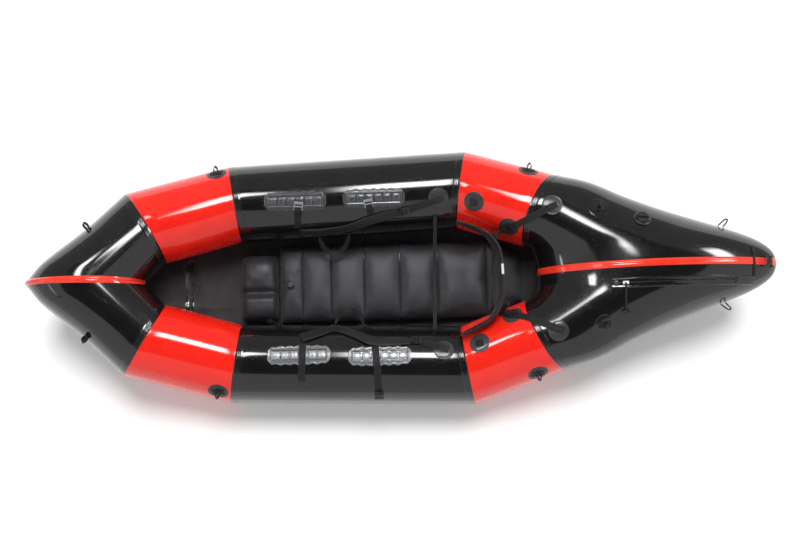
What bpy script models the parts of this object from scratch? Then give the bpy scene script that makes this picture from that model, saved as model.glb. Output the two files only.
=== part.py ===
"""A packraft: a ring of inflated tube panels round an open cockpit, with its floor, seat, straps and valves.

X runs from the bow to the stern, Y to starboard and Z up. The raft stands on its floor sheet at z = 0.
Lengths are in metres and angles in degrees. A place on a tube is given by how far it lies along X and by
its angle round the tube, from the top line towards the cockpit.
"""

import math

import bmesh
import bpy
from mathutils import Matrix, Vector
from mathutils.bvhtree import BVHTree

# Hull: the tube's axis on the starboard side, from the bow's mitre to the stern panel's seam
TUBE_RADIUS = 0.141
SKIN = 0.0012
GAP = 0.0003
MID_AHEAD = 0.600
MID_ASTERN = 0.235
BOW_QUARTER_RUN = 0.315
BOW_RUN = 0.190
STERN_QUARTER_RUN = 0.2775
OUT_AHEAD = 0.291
OUT_ASTERN = 0.321
OUT_BOW_SEAM = 0.200
OUT_STERN_SEAM = 0.2235
BOW_SEAM_LIFT = 0.062
BOW_LIFT = 0.125
STERN_SEAM_LIFT = 0.057
STERN_SEAM_SWING = 26.8
STERN_SEAM_RAKE = 20.0

# Stern panel: the long taper behind the cockpit rim; a share of it runs from its seam's X to the tip
STERN_TAPER_LENGTH = 0.745
STERN_TIP_LIFT = 0.150
STERN_RIM_SET_BACK = 0.043
STERN_RIM_LIFT = 0.043
STERN_HALF_HEIGHT = 0.1625
STERN_CAMBER = 0.030
STERN_LIFT = 0.0013
STERN_TAPER_SHARE = 0.25
STERN_OUTLINE_SHARES = (
    (0.0, 1.0),
    (0.168, 0.9),
    (0.333, 0.729),
    (0.5, 0.579),
    (0.663, 0.453),
    (0.832, 0.322),
    (0.93, 0.22),
    (0.985, 0.115),
    (1.0, 0.0),
)

# Floor sheet, welded along the tubes' lowest line
FLOOR_THICK = 0.0012
FLOOR_CLEARANCE = 0.0005
FLOOR_STERN_DROP = 0.002
FLOOR_BOW_SHARE = 0.82

# Welded tapes
TAPE_THICK = 0.0006
CENTRE_TAPE_WIDTH = 0.025
BOW_TAPE_TURNS = (-36.0, 171.0)
STERN_TAPE_TURNS = (-9.0, 180.0)

# Patches and what is sewn on them
PATCH_RADIUS = 0.036
PATCH_THICK = 0.0010
SEWN_DEPTH_SHARE = 0.5
WEBBING_WIDTH = 0.025
WEBBING_THICK = 0.0016
INNER_PATCHES = ((0.143, 20.0), (0.268, 21.5), (0.388, 46.5))
STERN_PATCH_SHARE = 0.0315
STERN_PATCH_OUT = 0.220
OUTER_PATCHES = ((-0.652, -53.0), (0.470, -58.0))
SIDE_PATCH_SHARE = 0.2436
SIDE_PATCH_OUT = 0.203
BOW_LOOP = (-1.088, -64.0)
LOOP_SPAN = 0.024
LOOP_RISE = 0.024
LOOP_WIDTH = 0.016
HANDLE_SHARE = 1.006
HANDLE_SPAN = 0.040
HANDLE_RISE = 0.020

# Daisy chains of loops on the mid panels
DAISY_LENGTH = 0.220
DAISY_WIDTH = 0.072
DAISY_LIFT = 0.0005
DAISY_BASE = 0.0010
DAISY_RISE = 0.0035
DAISY_INNER_LENGTH = 0.186
DAISY_INNER_WIDTH = 0.036
DAISY_CELLS = 6
DAISY_WAVES = 6
DAISY_WAVE_SHARE = 0.05
DAISY_END_SHARE = 0.25
DAISY_DIP_SHARE = 0.4
DAISIES_STARBOARD = ((-0.366, 11.0), (-0.086, 14.0))
DAISIES_PORT = ((-0.362, 11.0), (-0.080, 10.5))

# Ladder locks
LOCK_WIDTH = 0.032
LOCK_BAR = 0.004
LOCK_SLOT = 0.0065
LOCK_LIP = 0.009
LOCK_RAIL = 0.003
LOCK_LIFT = 0.0030
LOCK_LOOP_CLEARANCE = 0.0003
LOCK_TURNED_BACK = 0.010
TAIL_DROP_SHARE = 0.3

# Thigh straps, as places along X, angles and lifts off the tube
THIGH_WIDTH = 0.038
THIGH_MARKS_STARBOARD = (
    (-0.357, 64.0, 0.0005),
    (-0.275, 64.5, 0.0005),
    (-0.194, 61.0, 0.0005),
    (-0.095, 47.0, 0.0005),
    (-0.018, 40.0, 0.0003),
    (0.006, 38.0, 0.0),
)
THIGH_MARKS_PORT = (
    (-0.355, 36.0, 0.004),
    (-0.300, 46.0, 0.002),
    (-0.238, 57.0, 0.001),
    (-0.170, 46.0, 0.002),
    (-0.107, 32.0, 0.005),
    (-0.040, 31.0, 0.004),
    (0.022, 33.5, 0.0),
    (0.034, 33.8, 0.0),
)

THIGH_STEPS = 28
THIGH_TAPER_SHARES = (0.70, 0.22)
CHAIN_STRAP_STEPS = 14

# Straps on the daisy chains, as places along X, angles and lifts off the tube
CHAIN_STRAP_MARKS = {
    "bow_port": (
        (-0.349, 29.0, 0.0),
        (-0.349, 26.5, 0.004),
        (-0.350, 11.0, 0.004),
        (-0.351, -4.5, 0.004),
        (-0.352, -8.0, 0.001),
        (-0.356, -27.0, 0.0),
    ),
    "stern_port": (
        (-0.096, 24.0, 0.004),
        (-0.093, 11.0, 0.004),
        (-0.091, -4.5, 0.004),
        (-0.090, -8.0, 0.001),
        (-0.089, -30.0, 0.0),
        (-0.088, -43.0, 0.0),
    ),
    "bow_starboard": (
        (-0.363, 54.0, 0.0),
        (-0.361, 42.0, 0.0),
        (-0.358, 30.5, 0.001),
        (-0.357, 27.5, 0.003),
        (-0.3565, 25.0, 0.004),
    ),
    "stern_starboard": (
        (-0.098, 37.0, 0.0),
        (-0.100, 33.0, 0.001),
        (-0.101, 30.0, 0.003),
        (-0.102, 27.5, 0.004),
    ),
}
CHAIN_LOCKS = ("stern_port", "bow_starboard", "stern_starboard")

# Grab loops, as places along X and angles of their feet, and how far each reaches into the cockpit
GRAB_LOOPS = {"starboard": (-0.290, 78.0, -0.184, 79.0, 0.100), "port": (-0.238, 78.0, -0.140, 79.0, 0.108)}
GRAB_HEIGHT = 0.140
GRAB_WIDTH = 0.018
GRAB_FOOT = 0.004

# Backrest
BACK_X = 0.354
BACK_OUT = -0.020
BACK_DEPTH = 0.147
BACK_HALF_WIDTH = 0.200
BACK_THICK = 0.014
BACK_TOP = 0.335
BACK_CORNER_DROP = 0.045
BACK_WING_FOOT = 0.262
BACK_LEAN = 0.012
BACK_SEAT_GAP = 0.0006
BACK_EASE_SHARES = (0.25, 0.50)
BACK_EDGE_SHARE = 0.25
BACK_COLUMN_SPREAD = 1.25
PIPING_RADIUS = 0.0035
STRAP_OUT = 0.112
STRAP_HEIGHT_SHARE = 0.72
STRAP_OFF = 0.0030
STRAP_LEAD = 0.022
STRAP_CLEAR = 0.006

# Seat mat and foot cushion
MAT_FRONT = -0.448
MAT_HALF_WIDTH = 0.148
MAT_GROOVE_HALF_WIDTH = 0.140
MAT_HEIGHT = 0.092
MAT_SEAM_SHARE = 0.42
MAT_GROOVE_DEPTH = 0.022
MAT_END_HEIGHT = 0.030
MAT_CHAMBERS = (0.085, 0.107, 0.122, 0.133, 0.141, 0.178)
MAT_TAIL_LENGTH = 0.130
MAT_TAIL_HALF_WIDTH = 0.092
MAT_TAIL_HEIGHT = 0.058
CUSHION_FRONT = -0.590
CUSHION_LENGTH = 0.134
CUSHION_PORT = -0.132
CUSHION_STARBOARD = 0.112
CUSHION_HEIGHT = 0.105
CUSHION_FOLD_Y = -0.030
CUSHION_FOLD_DEPTH = 0.022
CUSHION_FOLD_WIDTH = 0.016
CUSHION_DRAW_SHARE = 0.06
PILLOW_EDGE = 0.002

# Mat valve
MAT_VALVE_X = -0.405
MAT_VALVE_Y = -0.005
MAT_VALVE_RADIUS = 0.021
MAT_VALVE_RISE = 0.004
MAT_VALVE_COLLAR = 0.00125
MAT_KNOB_RADIUS = 0.0125
MAT_KNOB_RISE = 0.010
MAT_KNOB_SHOULDER_RADIUS = 0.0115
MAT_KNOB_TOP_RADIUS = 0.010
MAT_KNOB_SHOULDER_SHARE = 0.85
FLANGE_EDGE_SHARE = 0.25

# Main valve
VALVE_SHARE = 0.4423
VALVE_Y = 0.158
VALVE_FLANGE_RADIUS = 0.032
VALVE_FLANGE_RISE = 0.0045
VALVE_BORE_RADIUS = 0.019
VALVE_COLLAR = 0.0019
CAP_RADIUS = 0.0235
CAP_TOP_RADIUS = 0.022
CAP_SHOULDER_SHARE = 0.8
CAP_RISE = 0.007
CAP_PLUG_RADIUS = 0.0182
CAP_GRIP_RISE = 0.006
CAP_GRIP_WIDTH = 0.009
CAP_GRIP_HALF_LENGTH = 0.020

# Cargo zipper: its chain runs over the stern's top on an arc in a plane of constant Y
ZIP_SHARES = (0.308, 0.856)
ZIP_Y = -0.066
ZIP_FIT_SHARES = (0.12, 0.5, 0.88)
ZIP_CHAIN_LIFT = 0.0048
ZIP_TAPE_LIFT = 0.0011
ZIP_TAPE_WIDTH = 0.036
ZIP_TAPE_THICK = 0.0008
ZIP_CHAIN_RADIUS = 0.0022
SLIDER_SHARE = 0.3403
SLIDER_LENGTH = 0.020
SLIDER_CHANNEL = 0.0004
SLIDER_WALL = 0.0012
SLIDER_SHOULDER = 0.0055
SLIDER_TOP = 0.0048
BRIDGE_LENGTH = 0.011
BRIDGE_POST = 0.002
BRIDGE_BAR = 0.0014
BRIDGE_RISE = 0.0048
PULL_WIRE = 0.0007
PULL_EYE_CLEARANCE = 0.0004
PULL_SHANK_WIDTH = 0.007
PULL_SHANK_THICK = 0.0022
PULL_END_Y = -0.168
PULL_END_LIFT = 0.011
PULL_BAR_LENGTH = 0.026
PULL_BAR_WIDTH = 0.008

# How finely round and bent pieces are divided
TUBE_SIDES = 32
GUIDE_SIDES = 160
STERN_RINGS = 10
FLOOR_COLUMNS = 13
TAPE_STEPS = 36
PATCH_RINGS = 3
PATCH_SIDES = 16
ARCH_STEPS = 10
DAISY_ROWS = 18
DAISY_COLUMNS = 5
LOOPED_END_STEPS = 8
TAIL_STEPS = 10
REAR_STRAP_STEPS = 12
GRAB_STEPS = 14
MAT_COLUMNS = 10
MAT_CHAMBER_STEPS = 5
CUSHION_ROWS = 8
CUSHION_COLUMNS = 16
BACK_ROWS = 5
BACK_COLUMNS = 24
ZIP_STEPS = 24
TURNED_SIDES = 24
EYE_SIDES = 14
SHARP_DEGREES = 35.0

STERN_SEAM_X = MID_ASTERN + STERN_QUARTER_RUN
AXIS_Z = FLOOR_THICK + FLOOR_CLEARANCE + TUBE_RADIUS
UP = Vector((0, 0, 1))


def smooth_share(share):
    """A share from 0 to 1, eased at both ends."""
    return share * share * (3 - 2 * share)


def mixed(start, end, share):
    """The value this share of the way from the start to the end."""
    return start + (end - start) * share


def mirrored(point):
    """The same place on the port side."""
    return Vector((point.x, -point.y, point.z))


def stern_x(share):
    """The X of a share of the stern's length, from the stern seam."""
    return STERN_SEAM_X + STERN_TAPER_LENGTH * share


def curve_point(points, share):
    """A point on the smooth curve through the points, whose first and last are beyond its ends."""
    spans = len(points) - 3
    place = min(max(share, 0.0), 1.0) * spans
    span = min(int(place), spans - 1)
    t = place - span
    before, start, end, after = points[span : span + 4]
    return (
        start * 2
        + (end - before) * t
        + (before * 2 - start * 5 + end * 4 - after) * t**2
        + (start * 3 - before - end * 3 + after) * t**3
    ) / 2


class Cut:
    """A plane across the tube, and the two vectors that carry a turn round the tube into that plane."""

    def __init__(self, centre, normal, along, side, top):
        self.centre = centre
        self.normal = normal
        self.along = along
        self.out = side
        self.up = top
        self.side = side - along * (side.dot(normal) / along.dot(normal))
        self.top = top - along * (top.dot(normal) / along.dot(normal))

    def ring(self, radius, sides, shift=0.0):
        """Points round the tube in this plane, moved along the tube by the shift."""
        turns = [math.tau * i / sides for i in range(sides)]
        middle = self.centre + self.along * shift
        return [
            middle + self.side * (radius * math.cos(a)) + self.top * (radius * math.sin(a))
            for a in turns
        ]


def tube_axis():
    """The places of the starboard tube's seams, from the bow's mitre to the stern panel's seam."""
    bow_seam_x = -(MID_AHEAD + BOW_QUARTER_RUN)
    return [
        Vector((bow_seam_x - BOW_RUN, 0, AXIS_Z + BOW_LIFT)),
        Vector((bow_seam_x, OUT_BOW_SEAM, AXIS_Z + BOW_SEAM_LIFT)),
        Vector((-MID_AHEAD, OUT_AHEAD, AXIS_Z)),
        Vector((MID_ASTERN, OUT_ASTERN, AXIS_Z)),
        Vector((MID_ASTERN + STERN_QUARTER_RUN, OUT_STERN_SEAM, AXIS_Z + STERN_SEAM_LIFT)),
    ]


def carried(vector, start, end):
    """The vector turned by the least turn that takes one direction into the other."""
    return start.rotation_difference(end) @ vector


def tube_cuts():
    """Each panel's two end planes, bow panel first: panels meet in a mitre, square to their average."""
    seams = tube_axis()
    runs = [(b - a).normalized() for a, b in zip(seams, seams[1:])]
    swing = math.radians(STERN_SEAM_SWING)
    rake = math.radians(STERN_SEAM_RAKE)
    stern_normal = Vector(
        (math.cos(swing) * math.cos(rake), -math.sin(swing) * math.cos(rake), math.sin(rake))
    )
    normals = [Vector((0, 1, 0))]
    normals += [(a + b).normalized() for a, b in zip(runs, runs[1:])]
    normals.append(stern_normal)
    side_of_mid = UP.cross(runs[2]).normalized()
    frames = {2: side_of_mid}
    frames[1] = carried(side_of_mid, runs[2], runs[1])
    frames[0] = carried(frames[1], runs[1], runs[0])
    frames[3] = carried(side_of_mid, runs[2], runs[3])
    panels = []
    for i, along in enumerate(runs):
        side = frames[i]
        top = along.cross(side)
        panels.append(
            [
                Cut(seams[i], normals[i], along, side, top),
                Cut(seams[i + 1], normals[i + 1], along, side, top),
            ]
        )
    return panels


PANEL_CUTS = tube_cuts()
BOW, BOW_QUARTER, MID, STERN_QUARTER = range(4)


def stern_ring(share, sides, grow=0.0, shift=0.0):
    """One closed section of the stern panel, from the starboard seam (share 0) to the centre plane (share 1).

    Each section stands in a plane that turns from the seam to the raft's centre plane. It runs from the
    cockpit rim to the outline, and its height falls away towards the outline as the share nears 1.
    """
    seam = PANEL_CUTS[STERN_QUARTER][1]
    middle = seam.centre + seam.along * shift
    reach = TUBE_RADIUS + grow
    rim_start = middle - seam.side * reach
    out_start = middle + seam.side * reach
    rim_end_x = middle.x - (seam.side * TUBE_RADIUS).x + STERN_RIM_SET_BACK
    turn = share * math.pi / 2
    rim = Vector(
        (
            mixed(rim_start.x, rim_end_x - grow, math.sin(turn)),
            rim_start.y * math.cos(turn),
            mixed(rim_start.z, AXIS_Z + STERN_RIM_LIFT, smooth_share(share)),
        )
    )
    along_end = out_start.x + STERN_TAPER_LENGTH
    outline = [Vector((x, y, 0)) for x, y in STERN_OUTLINE_SHARES]
    before = outline[0] * 2 - outline[1]
    after = Vector((outline[-2].x, -outline[-2].y, 0))
    place = curve_point([before] + outline + [after], share)
    out = Vector(
        (
            mixed(out_start.x, along_end, place.x),
            out_start.y * place.y,
            mixed(out_start.z, AXIS_Z + STERN_TIP_LIFT, place.x),
        )
    )
    if grow:
        out += (out - rim).normalized() * (grow * 3 * smooth_share(share))
    half = (out - rim) / 2
    centre = (out + rim) / 2
    eased = smooth_share(share)
    height = mixed(seam.top * reach, UP * (STERN_HALF_HEIGHT + grow), eased)
    points = []
    for i in range(sides):
        turn = math.tau * i / sides
        along = (1 + math.cos(turn)) / 2
        fall = (1 - along) ** (STERN_TAPER_SHARE * eased) if along < 1 else 0.0
        camber = STERN_CAMBER * eased * 4 * along * (1 - along)
        points.append(
            centre + half * math.cos(turn) + height * (math.sin(turn) * fall) + UP * camber
        )
    return points


def material(name, colour, roughness, metallic=0.0):
    """A plain surface of one colour, made once for each name."""
    found = bpy.data.materials.get(name)
    if found:
        return found
    made = bpy.data.materials.new(name)
    made.use_nodes = True
    shader = made.node_tree.nodes["Principled BSDF"]
    shader.inputs["Base Color"].default_value = (*colour, 1)
    shader.inputs["Roughness"].default_value = roughness
    shader.inputs["Metallic"].default_value = metallic
    made.diffuse_color = (*colour, 1)
    return made


COLOURS = {
    "black_fabric": ((0.012, 0.012, 0.013), 0.22, 0.0),
    "red_fabric": ((0.70, 0.020, 0.006), 0.25, 0.0),
    "floor_fabric": ((0.020, 0.020, 0.022), 0.5, 0.0),
    "mat_fabric": ((0.030, 0.030, 0.033), 0.45, 0.0),
    "patch_fabric": ((0.045, 0.045, 0.048), 0.4, 0.0),
    "clear_patch": ((0.30, 0.31, 0.32), 0.3, 0.0),
    "webbing": ((0.010, 0.010, 0.011), 0.7, 0.0),
    "padding": ((0.018, 0.018, 0.020), 0.7, 0.0),
    "black_plastic": ((0.012, 0.012, 0.012), 0.35, 0.0),
    "bright_metal": ((0.65, 0.65, 0.66), 0.3, 1.0),
}


def add_object(name, mesh, look, pivot=None, round_piece=True):
    """Puts a mesh in the scene under its node name, with its origin at the pivot."""
    obj = bpy.data.objects.new(name, mesh)
    bpy.context.scene.collection.objects.link(obj)
    colour, roughness, metallic = COLOURS[look]
    mesh.materials.append(material(look, colour, roughness, metallic))
    if round_piece:
        mesh.shade_smooth()
        mesh.set_sharp_from_angle(angle=math.radians(SHARP_DEGREES))
    if pivot is not None:
        mesh.transform(Matrix.Translation(-pivot))
        obj.location = pivot
    return obj


def mesh_of(name, points, faces):
    """A closed mesh with its faces turned outwards."""
    bm = bmesh.new()
    corners = [bm.verts.new(p) for p in points]
    for face in faces:
        bm.faces.new([corners[i] for i in face])
    bmesh.ops.recalc_face_normals(bm, faces=bm.faces)
    mesh = bpy.data.meshes.new(name)
    bm.to_mesh(mesh)
    bm.free()
    return mesh


def skin_of(name, outer, inner):
    """A sleeve open at both ends: its outer rings, its inner rings and the two edges between them."""
    sides = len(outer[0])
    rows = outer + inner[::-1]
    points = [p for ring in rows for p in ring]
    faces = []
    for row in range(len(rows)):
        following = (row + 1) % len(rows)
        for i in range(sides):
            j = (i + 1) % sides
            faces.append(
                (row * sides + i, row * sides + j, following * sides + j, following * sides + i)
            )
    return mesh_of(name, points, faces)


def panel_rings(panel, radius, sides=TUBE_SIDES):
    """A straight panel's two end rings, each drawn back by half the gap."""
    start, end = PANEL_CUTS[panel]
    return [start.ring(radius, sides, GAP / 2), end.ring(radius, sides, -GAP / 2)]


def stern_rings(sides, grow=0.0, steps=STERN_RINGS):
    """The stern panel's rings from the starboard seam round to the port seam."""
    half = [stern_ring(i / steps, sides, grow, GAP / 2) for i in range(steps + 1)]
    return half + [[mirrored(p) for p in ring] for ring in half[-2::-1]]


def bow_rings(radius, sides=TUBE_SIDES):
    """The bow panel's rings from the starboard seam, over the mitre, to the port seam."""
    mitre, seam = PANEL_CUTS[BOW]
    half = [seam.ring(radius, sides, -GAP / 2), mitre.ring(radius, sides)]
    return half + [[mirrored(p) for p in half[0]]]


def both_sides(name, outer, inner, look):
    """A starboard skin and its port copy."""
    add_object(name + "_starboard", skin_of(name + "_starboard", outer, inner), look)
    port_outer = [[mirrored(p) for p in ring] for ring in outer]
    port_inner = [[mirrored(p) for p in ring] for ring in inner]
    add_object(name + "_port", skin_of(name + "_port", port_outer, port_inner), look)


def hull_panels():
    """The eight panels of the tube ring, each an open sleeve of coated fabric."""
    inside = TUBE_RADIUS - SKIN
    bow = skin_of("bow_panel", bow_rings(TUBE_RADIUS), bow_rings(inside))
    add_object("bow_panel", bow, "black_fabric")
    for name, panel, look in (
        ("bow_quarter", BOW_QUARTER, "red_fabric"),
        ("mid_panel", MID, "black_fabric"),
        ("stern_quarter", STERN_QUARTER, "red_fabric"),
    ):
        both_sides(name, panel_rings(panel, TUBE_RADIUS), panel_rings(panel, inside), look)
    stern = skin_of("stern_panel", stern_rings(TUBE_SIDES), stern_rings(TUBE_SIDES, -SKIN))
    add_object("stern_panel", stern, "black_fabric")


def guide_tree():
    """The hull's smooth outer surface as a fine tree of faces, for laying pieces on it."""
    sheets = [bow_rings(TUBE_RADIUS, GUIDE_SIDES)]
    for panel in (BOW_QUARTER, MID, STERN_QUARTER):
        rings = panel_rings(panel, TUBE_RADIUS, GUIDE_SIDES)
        sheets += [rings, [[mirrored(p) for p in ring] for ring in rings]]
    sheets.append(stern_rings(GUIDE_SIDES, steps=STERN_RINGS * 4))
    points = []
    faces = []
    for rings in sheets:
        first, second = rings[0], rings[1]
        out = first[0] - sum(first, Vector()) / GUIDE_SIDES
        outward = (first[1] - first[0]).cross(second[0] - first[0]).dot(out) > 0
        for row in range(len(rings) - 1):
            for i in range(GUIDE_SIDES):
                j = (i + 1) % GUIDE_SIDES
                base = len(points) + row * GUIDE_SIDES
                face = (base + i, base + j, base + GUIDE_SIDES + j, base + GUIDE_SIDES + i)
                faces.append(face if outward else face[::-1])
        points += [p for ring in rings for p in ring]
    return BVHTree.FromPolygons(points, faces)


class Hull:
    """Finds places on the hull's outer surface."""

    def __init__(self):
        self.tree = guide_tree()

    def near(self, point):
        """The nearest place on the hull and the way out of it."""
        place, normal, _, _ = self.tree.find_nearest(point)
        return place, normal

    def above(self, x, y):
        """The highest place on the hull over this spot."""
        start = Vector((x, y, AXIS_Z * 10))
        place, normal, _, _ = self.tree.ray_cast(start, -UP)
        return place, normal

    def tube(self, x, angle, side):
        """The place on a tube this far along X, at this angle from its top line towards the cockpit."""
        seams = tube_axis()
        panel = max(i for i in range(len(seams) - 1) if i == 0 or seams[i].x <= x)
        start, end = seams[panel], seams[panel + 1]
        cut = PANEL_CUTS[panel][0]
        turn = math.radians(angle)
        spoke = (cut.up * math.cos(turn) - cut.out * math.sin(turn)) * TUBE_RADIUS
        middle = start + (end - start) * ((x - spoke.x - start.x) / (end.x - start.x))
        point = middle + spoke
        if side < 0:
            point = mirrored(point)
        return self.near(point)


HULL = None


class Seat:
    """A spot with a direction along, a direction across and a way up out of the surface."""

    def __init__(self, place, normal, along):
        self.place = place
        self.up = normal.normalized()
        self.across = self.up.cross(along).normalized()
        self.along = self.across.cross(self.up)

    def at(self, along=0.0, across=0.0, up=0.0):
        """The point this far along, across and up from the spot."""
        return self.place + self.along * along + self.across * across + self.up * up

    def raised(self, up):
        """The same seat, this much farther out of the surface."""
        return Seat(self.at(up=up), self.up, self.along)


def slab(name, under, over, split=False):
    """A closed sheet between two grids of points of the same size, each cell split the same way if asked."""
    rows, columns = len(under), len(under[0])
    points = [p for row in under for p in row] + [p for row in over for p in row]
    lift = rows * columns
    faces = []
    for i in range(rows - 1):
        for j in range(columns - 1):
            quad = (i * columns + j, i * columns + j + 1, (i + 1) * columns + j + 1, (i + 1) * columns + j)
            for cell in ((quad[:3], (quad[0], *quad[2:])) if split else (quad,)):
                faces.append(cell)
                faces.append(tuple(k + lift for k in cell[::-1]))
    edge = [j for j in range(columns)]
    edge += [i * columns + columns - 1 for i in range(1, rows)]
    edge += [(rows - 1) * columns + j for j in range(columns - 2, -1, -1)]
    edge += [i * columns for i in range(rows - 2, 0, -1)]
    for a, b in zip(edge, edge[1:] + edge[:1]):
        faces.append((a, a + lift, b + lift, b))
    return mesh_of(name, points, faces)


def directions(places, closed=False):
    """The way along a path at each of its points."""
    count = len(places)
    ways = []
    for i in range(count):
        if closed:
            before, after = places[i - 1], places[(i + 1) % count]
        else:
            before, after = places[max(i - 1, 0)], places[min(i + 1, count - 1)]
        ways.append((after - before).normalized())
    return ways


def laid(name, path, width, thick, lift=GAP):
    """A flat strip that follows the hull along the path, seated across its width."""
    ways = directions([place for place, _ in path])
    under, over = [], []
    for (place, normal), way in zip(path, ways):
        across = normal.cross(way).normalized()
        spots = [HULL.near(place + across * (width * share)) for share in (-0.5, 0.0, 0.5)]
        ridge = (spots[0][1] + spots[2][1]).normalized()
        spread = max(ridge.dot(spots[0][1]), 0.5)
        spots[1] = (spots[1][0], ridge / spread)
        under.append([spot + way_out * lift for spot, way_out in spots])
        over.append([spot + way_out * (lift + thick) for spot, way_out in spots])
    return slab(name, under, over)


def band(name, stations, widths, thick):
    """A flat strip through the air: each station is the middle of the strip and its way up."""
    ways = directions([place for place, _ in stations])
    under, over = [], []
    for (place, normal), way, width in zip(stations, ways, widths):
        across = way.cross(normal).normalized() * (width / 2)
        up = across.cross(way).normalized() * (thick / 2)
        under.append([place - across - up, place + across - up])
        over.append([place - across + up, place + across + up])
    return slab(name, under, over)


def rod(name, places, radius, sides=8, closed=False):
    """A round bar along the places, with flat ends or closed on itself."""
    ways = directions(places, closed)
    across = ways[0].orthogonal().normalized()
    rings = []
    for i, (place, way) in enumerate(zip(places, ways)):
        if i:
            across = carried(across, ways[i - 1], way)
        across = (across - way * across.dot(way)).normalized()
        other = way.cross(across)
        turns = [math.tau * k / sides for k in range(sides)]
        rings.append(
            [place + across * (radius * math.cos(a)) + other * (radius * math.sin(a)) for a in turns]
        )
    points = [p for ring in rings for p in ring]
    faces = []
    last = len(rings) if closed else len(rings) - 1
    for row in range(last):
        following = (row + 1) % len(rings)
        for k in range(sides):
            m = (k + 1) % sides
            faces.append((row * sides + k, row * sides + m, following * sides + m, following * sides + k))
    if not closed:
        faces.append(tuple(range(sides)))
        faces.append(tuple((len(rings) - 1) * sides + k for k in range(sides)))
    return mesh_of(name, points, faces)


def turned(name, profile, seat, sides=TURNED_SIDES):
    """A solid turned about the seat's way up, from pairs of radius and height, both ends on the axis."""
    points = [seat.at(up=profile[0][1])]
    for radius, height in profile[1:-1]:
        for k in range(sides):
            turn = math.tau * k / sides
            points.append(seat.at(radius * math.cos(turn), radius * math.sin(turn), height))
    points.append(seat.at(up=profile[-1][1]))
    faces = []
    rows = len(profile) - 2
    for k in range(sides):
        m = (k + 1) % sides
        faces.append((0, 1 + k, 1 + m))
        for row in range(rows - 1):
            base = 1 + row * sides
            faces.append((base + k, base + m, base + sides + m, base + sides + k))
        top = 1 + (rows - 1) * sides
        faces.append((len(points) - 1, top + m, top + k))
    return mesh_of(name, points, faces)


def turned_ring(name, profile, seat, sides=TURNED_SIDES):
    """A ring turned about the seat's way up, from a closed profile of radius and height."""
    rings = []
    for k in range(sides):
        turn = math.tau * k / sides
        rings.append([seat.at(r * math.cos(turn), r * math.sin(turn), h) for r, h in profile])
    count = len(profile)
    points = [p for ring in rings for p in ring]
    faces = []
    for k in range(sides):
        m = (k + 1) % sides
        for i in range(count):
            j = (i + 1) % count
            faces.append((k * count + i, k * count + j, m * count + j, m * count + i))
    return mesh_of(name, points, faces)


def round_patch(name, seat, radius, thick, lift=GAP):
    """A disc that follows the hull round the seat."""
    rings, sides = PATCH_RINGS, PATCH_SIDES
    spots = [(HULL.near(seat.place))]
    for ring in range(1, rings + 1):
        for k in range(sides):
            turn = math.tau * k / sides
            reach = radius * ring / rings
            spots.append(HULL.near(seat.at(reach * math.cos(turn), reach * math.sin(turn))))
    points = [p + n * lift for p, n in spots] + [p + n * (lift + thick) for p, n in spots]
    count = len(spots)
    faces = []
    for k in range(sides):
        m = (k + 1) % sides
        sheet = [(0, 1 + k, 1 + m)]
        for ring in range(rings - 1):
            base = 1 + ring * sides
            sheet.append((base + k, base + sides + k, base + sides + m, base + m))
        faces += sheet + [tuple(i + count for i in face[::-1]) for face in sheet]
        rim = 1 + (rings - 1) * sides
        faces.append((rim + k, rim + k + count, rim + m + count, rim + m))
    return mesh_of(name, points, faces)


def arch(name, seat, span, rise, width, thick, soles=()):
    """A strap bent into an arch over the seat, standing on its two ends or reaching down to its soles."""
    stations = []
    for i in range(ARCH_STEPS + 1):
        turn = math.pi * i / ARCH_STEPS
        out, height = -math.cos(turn), math.sin(turn)
        way_up = (seat.along * (out / span) + seat.up * (height / (rise * 2))).normalized()
        stations.append((seat.at(out * span / 2, 0, height * rise), way_up))
    if soles:
        stations = [(soles[0], stations[0][1])] + stations + [(soles[1], stations[-1][1])]
    return band(name, stations, [width] * len(stations), thick)


def tube_path(marks, side, steps):
    """Spots and ways out along a smooth line on a tube, from places along X, angles and lifts."""
    knots = [Vector(mark) for mark in marks]
    knots = [knots[0] * 2 - knots[1]] + knots + [knots[-1] * 2 - knots[-2]]
    path = []
    for i in range(steps + 1):
        x, angle, lift = curve_point(knots, i / steps)
        place, normal = HULL.tube(x, angle, side)
        path.append((place + normal * lift, normal))
    return path


def tube_seat(x, angle, side, along):
    """A seat on a tube whose along points this way, as near as the surface allows."""
    place, normal = HULL.tube(x, angle, side)
    return Seat(place, normal, along)


def above_seat(x, y, along):
    """A seat on the hull's highest place over this spot."""
    place, normal = HULL.above(x, y)
    return Seat(place, normal, along)


FORWARD = Vector((-1, 0, 0))
SIDES = (("starboard", 1), ("port", -1))


def low_point(cut):
    """Where a tube's lowest line, seen along the raft, meets a seam, with the floor's clearance below it."""
    down = Vector((cut.along.z, 0, -cut.along.x)).normalized()
    down -= cut.along * (down.dot(cut.normal) / cut.along.dot(cut.normal))
    return cut.centre + down * (TUBE_RADIUS + FLOOR_CLEARANCE)


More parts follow.
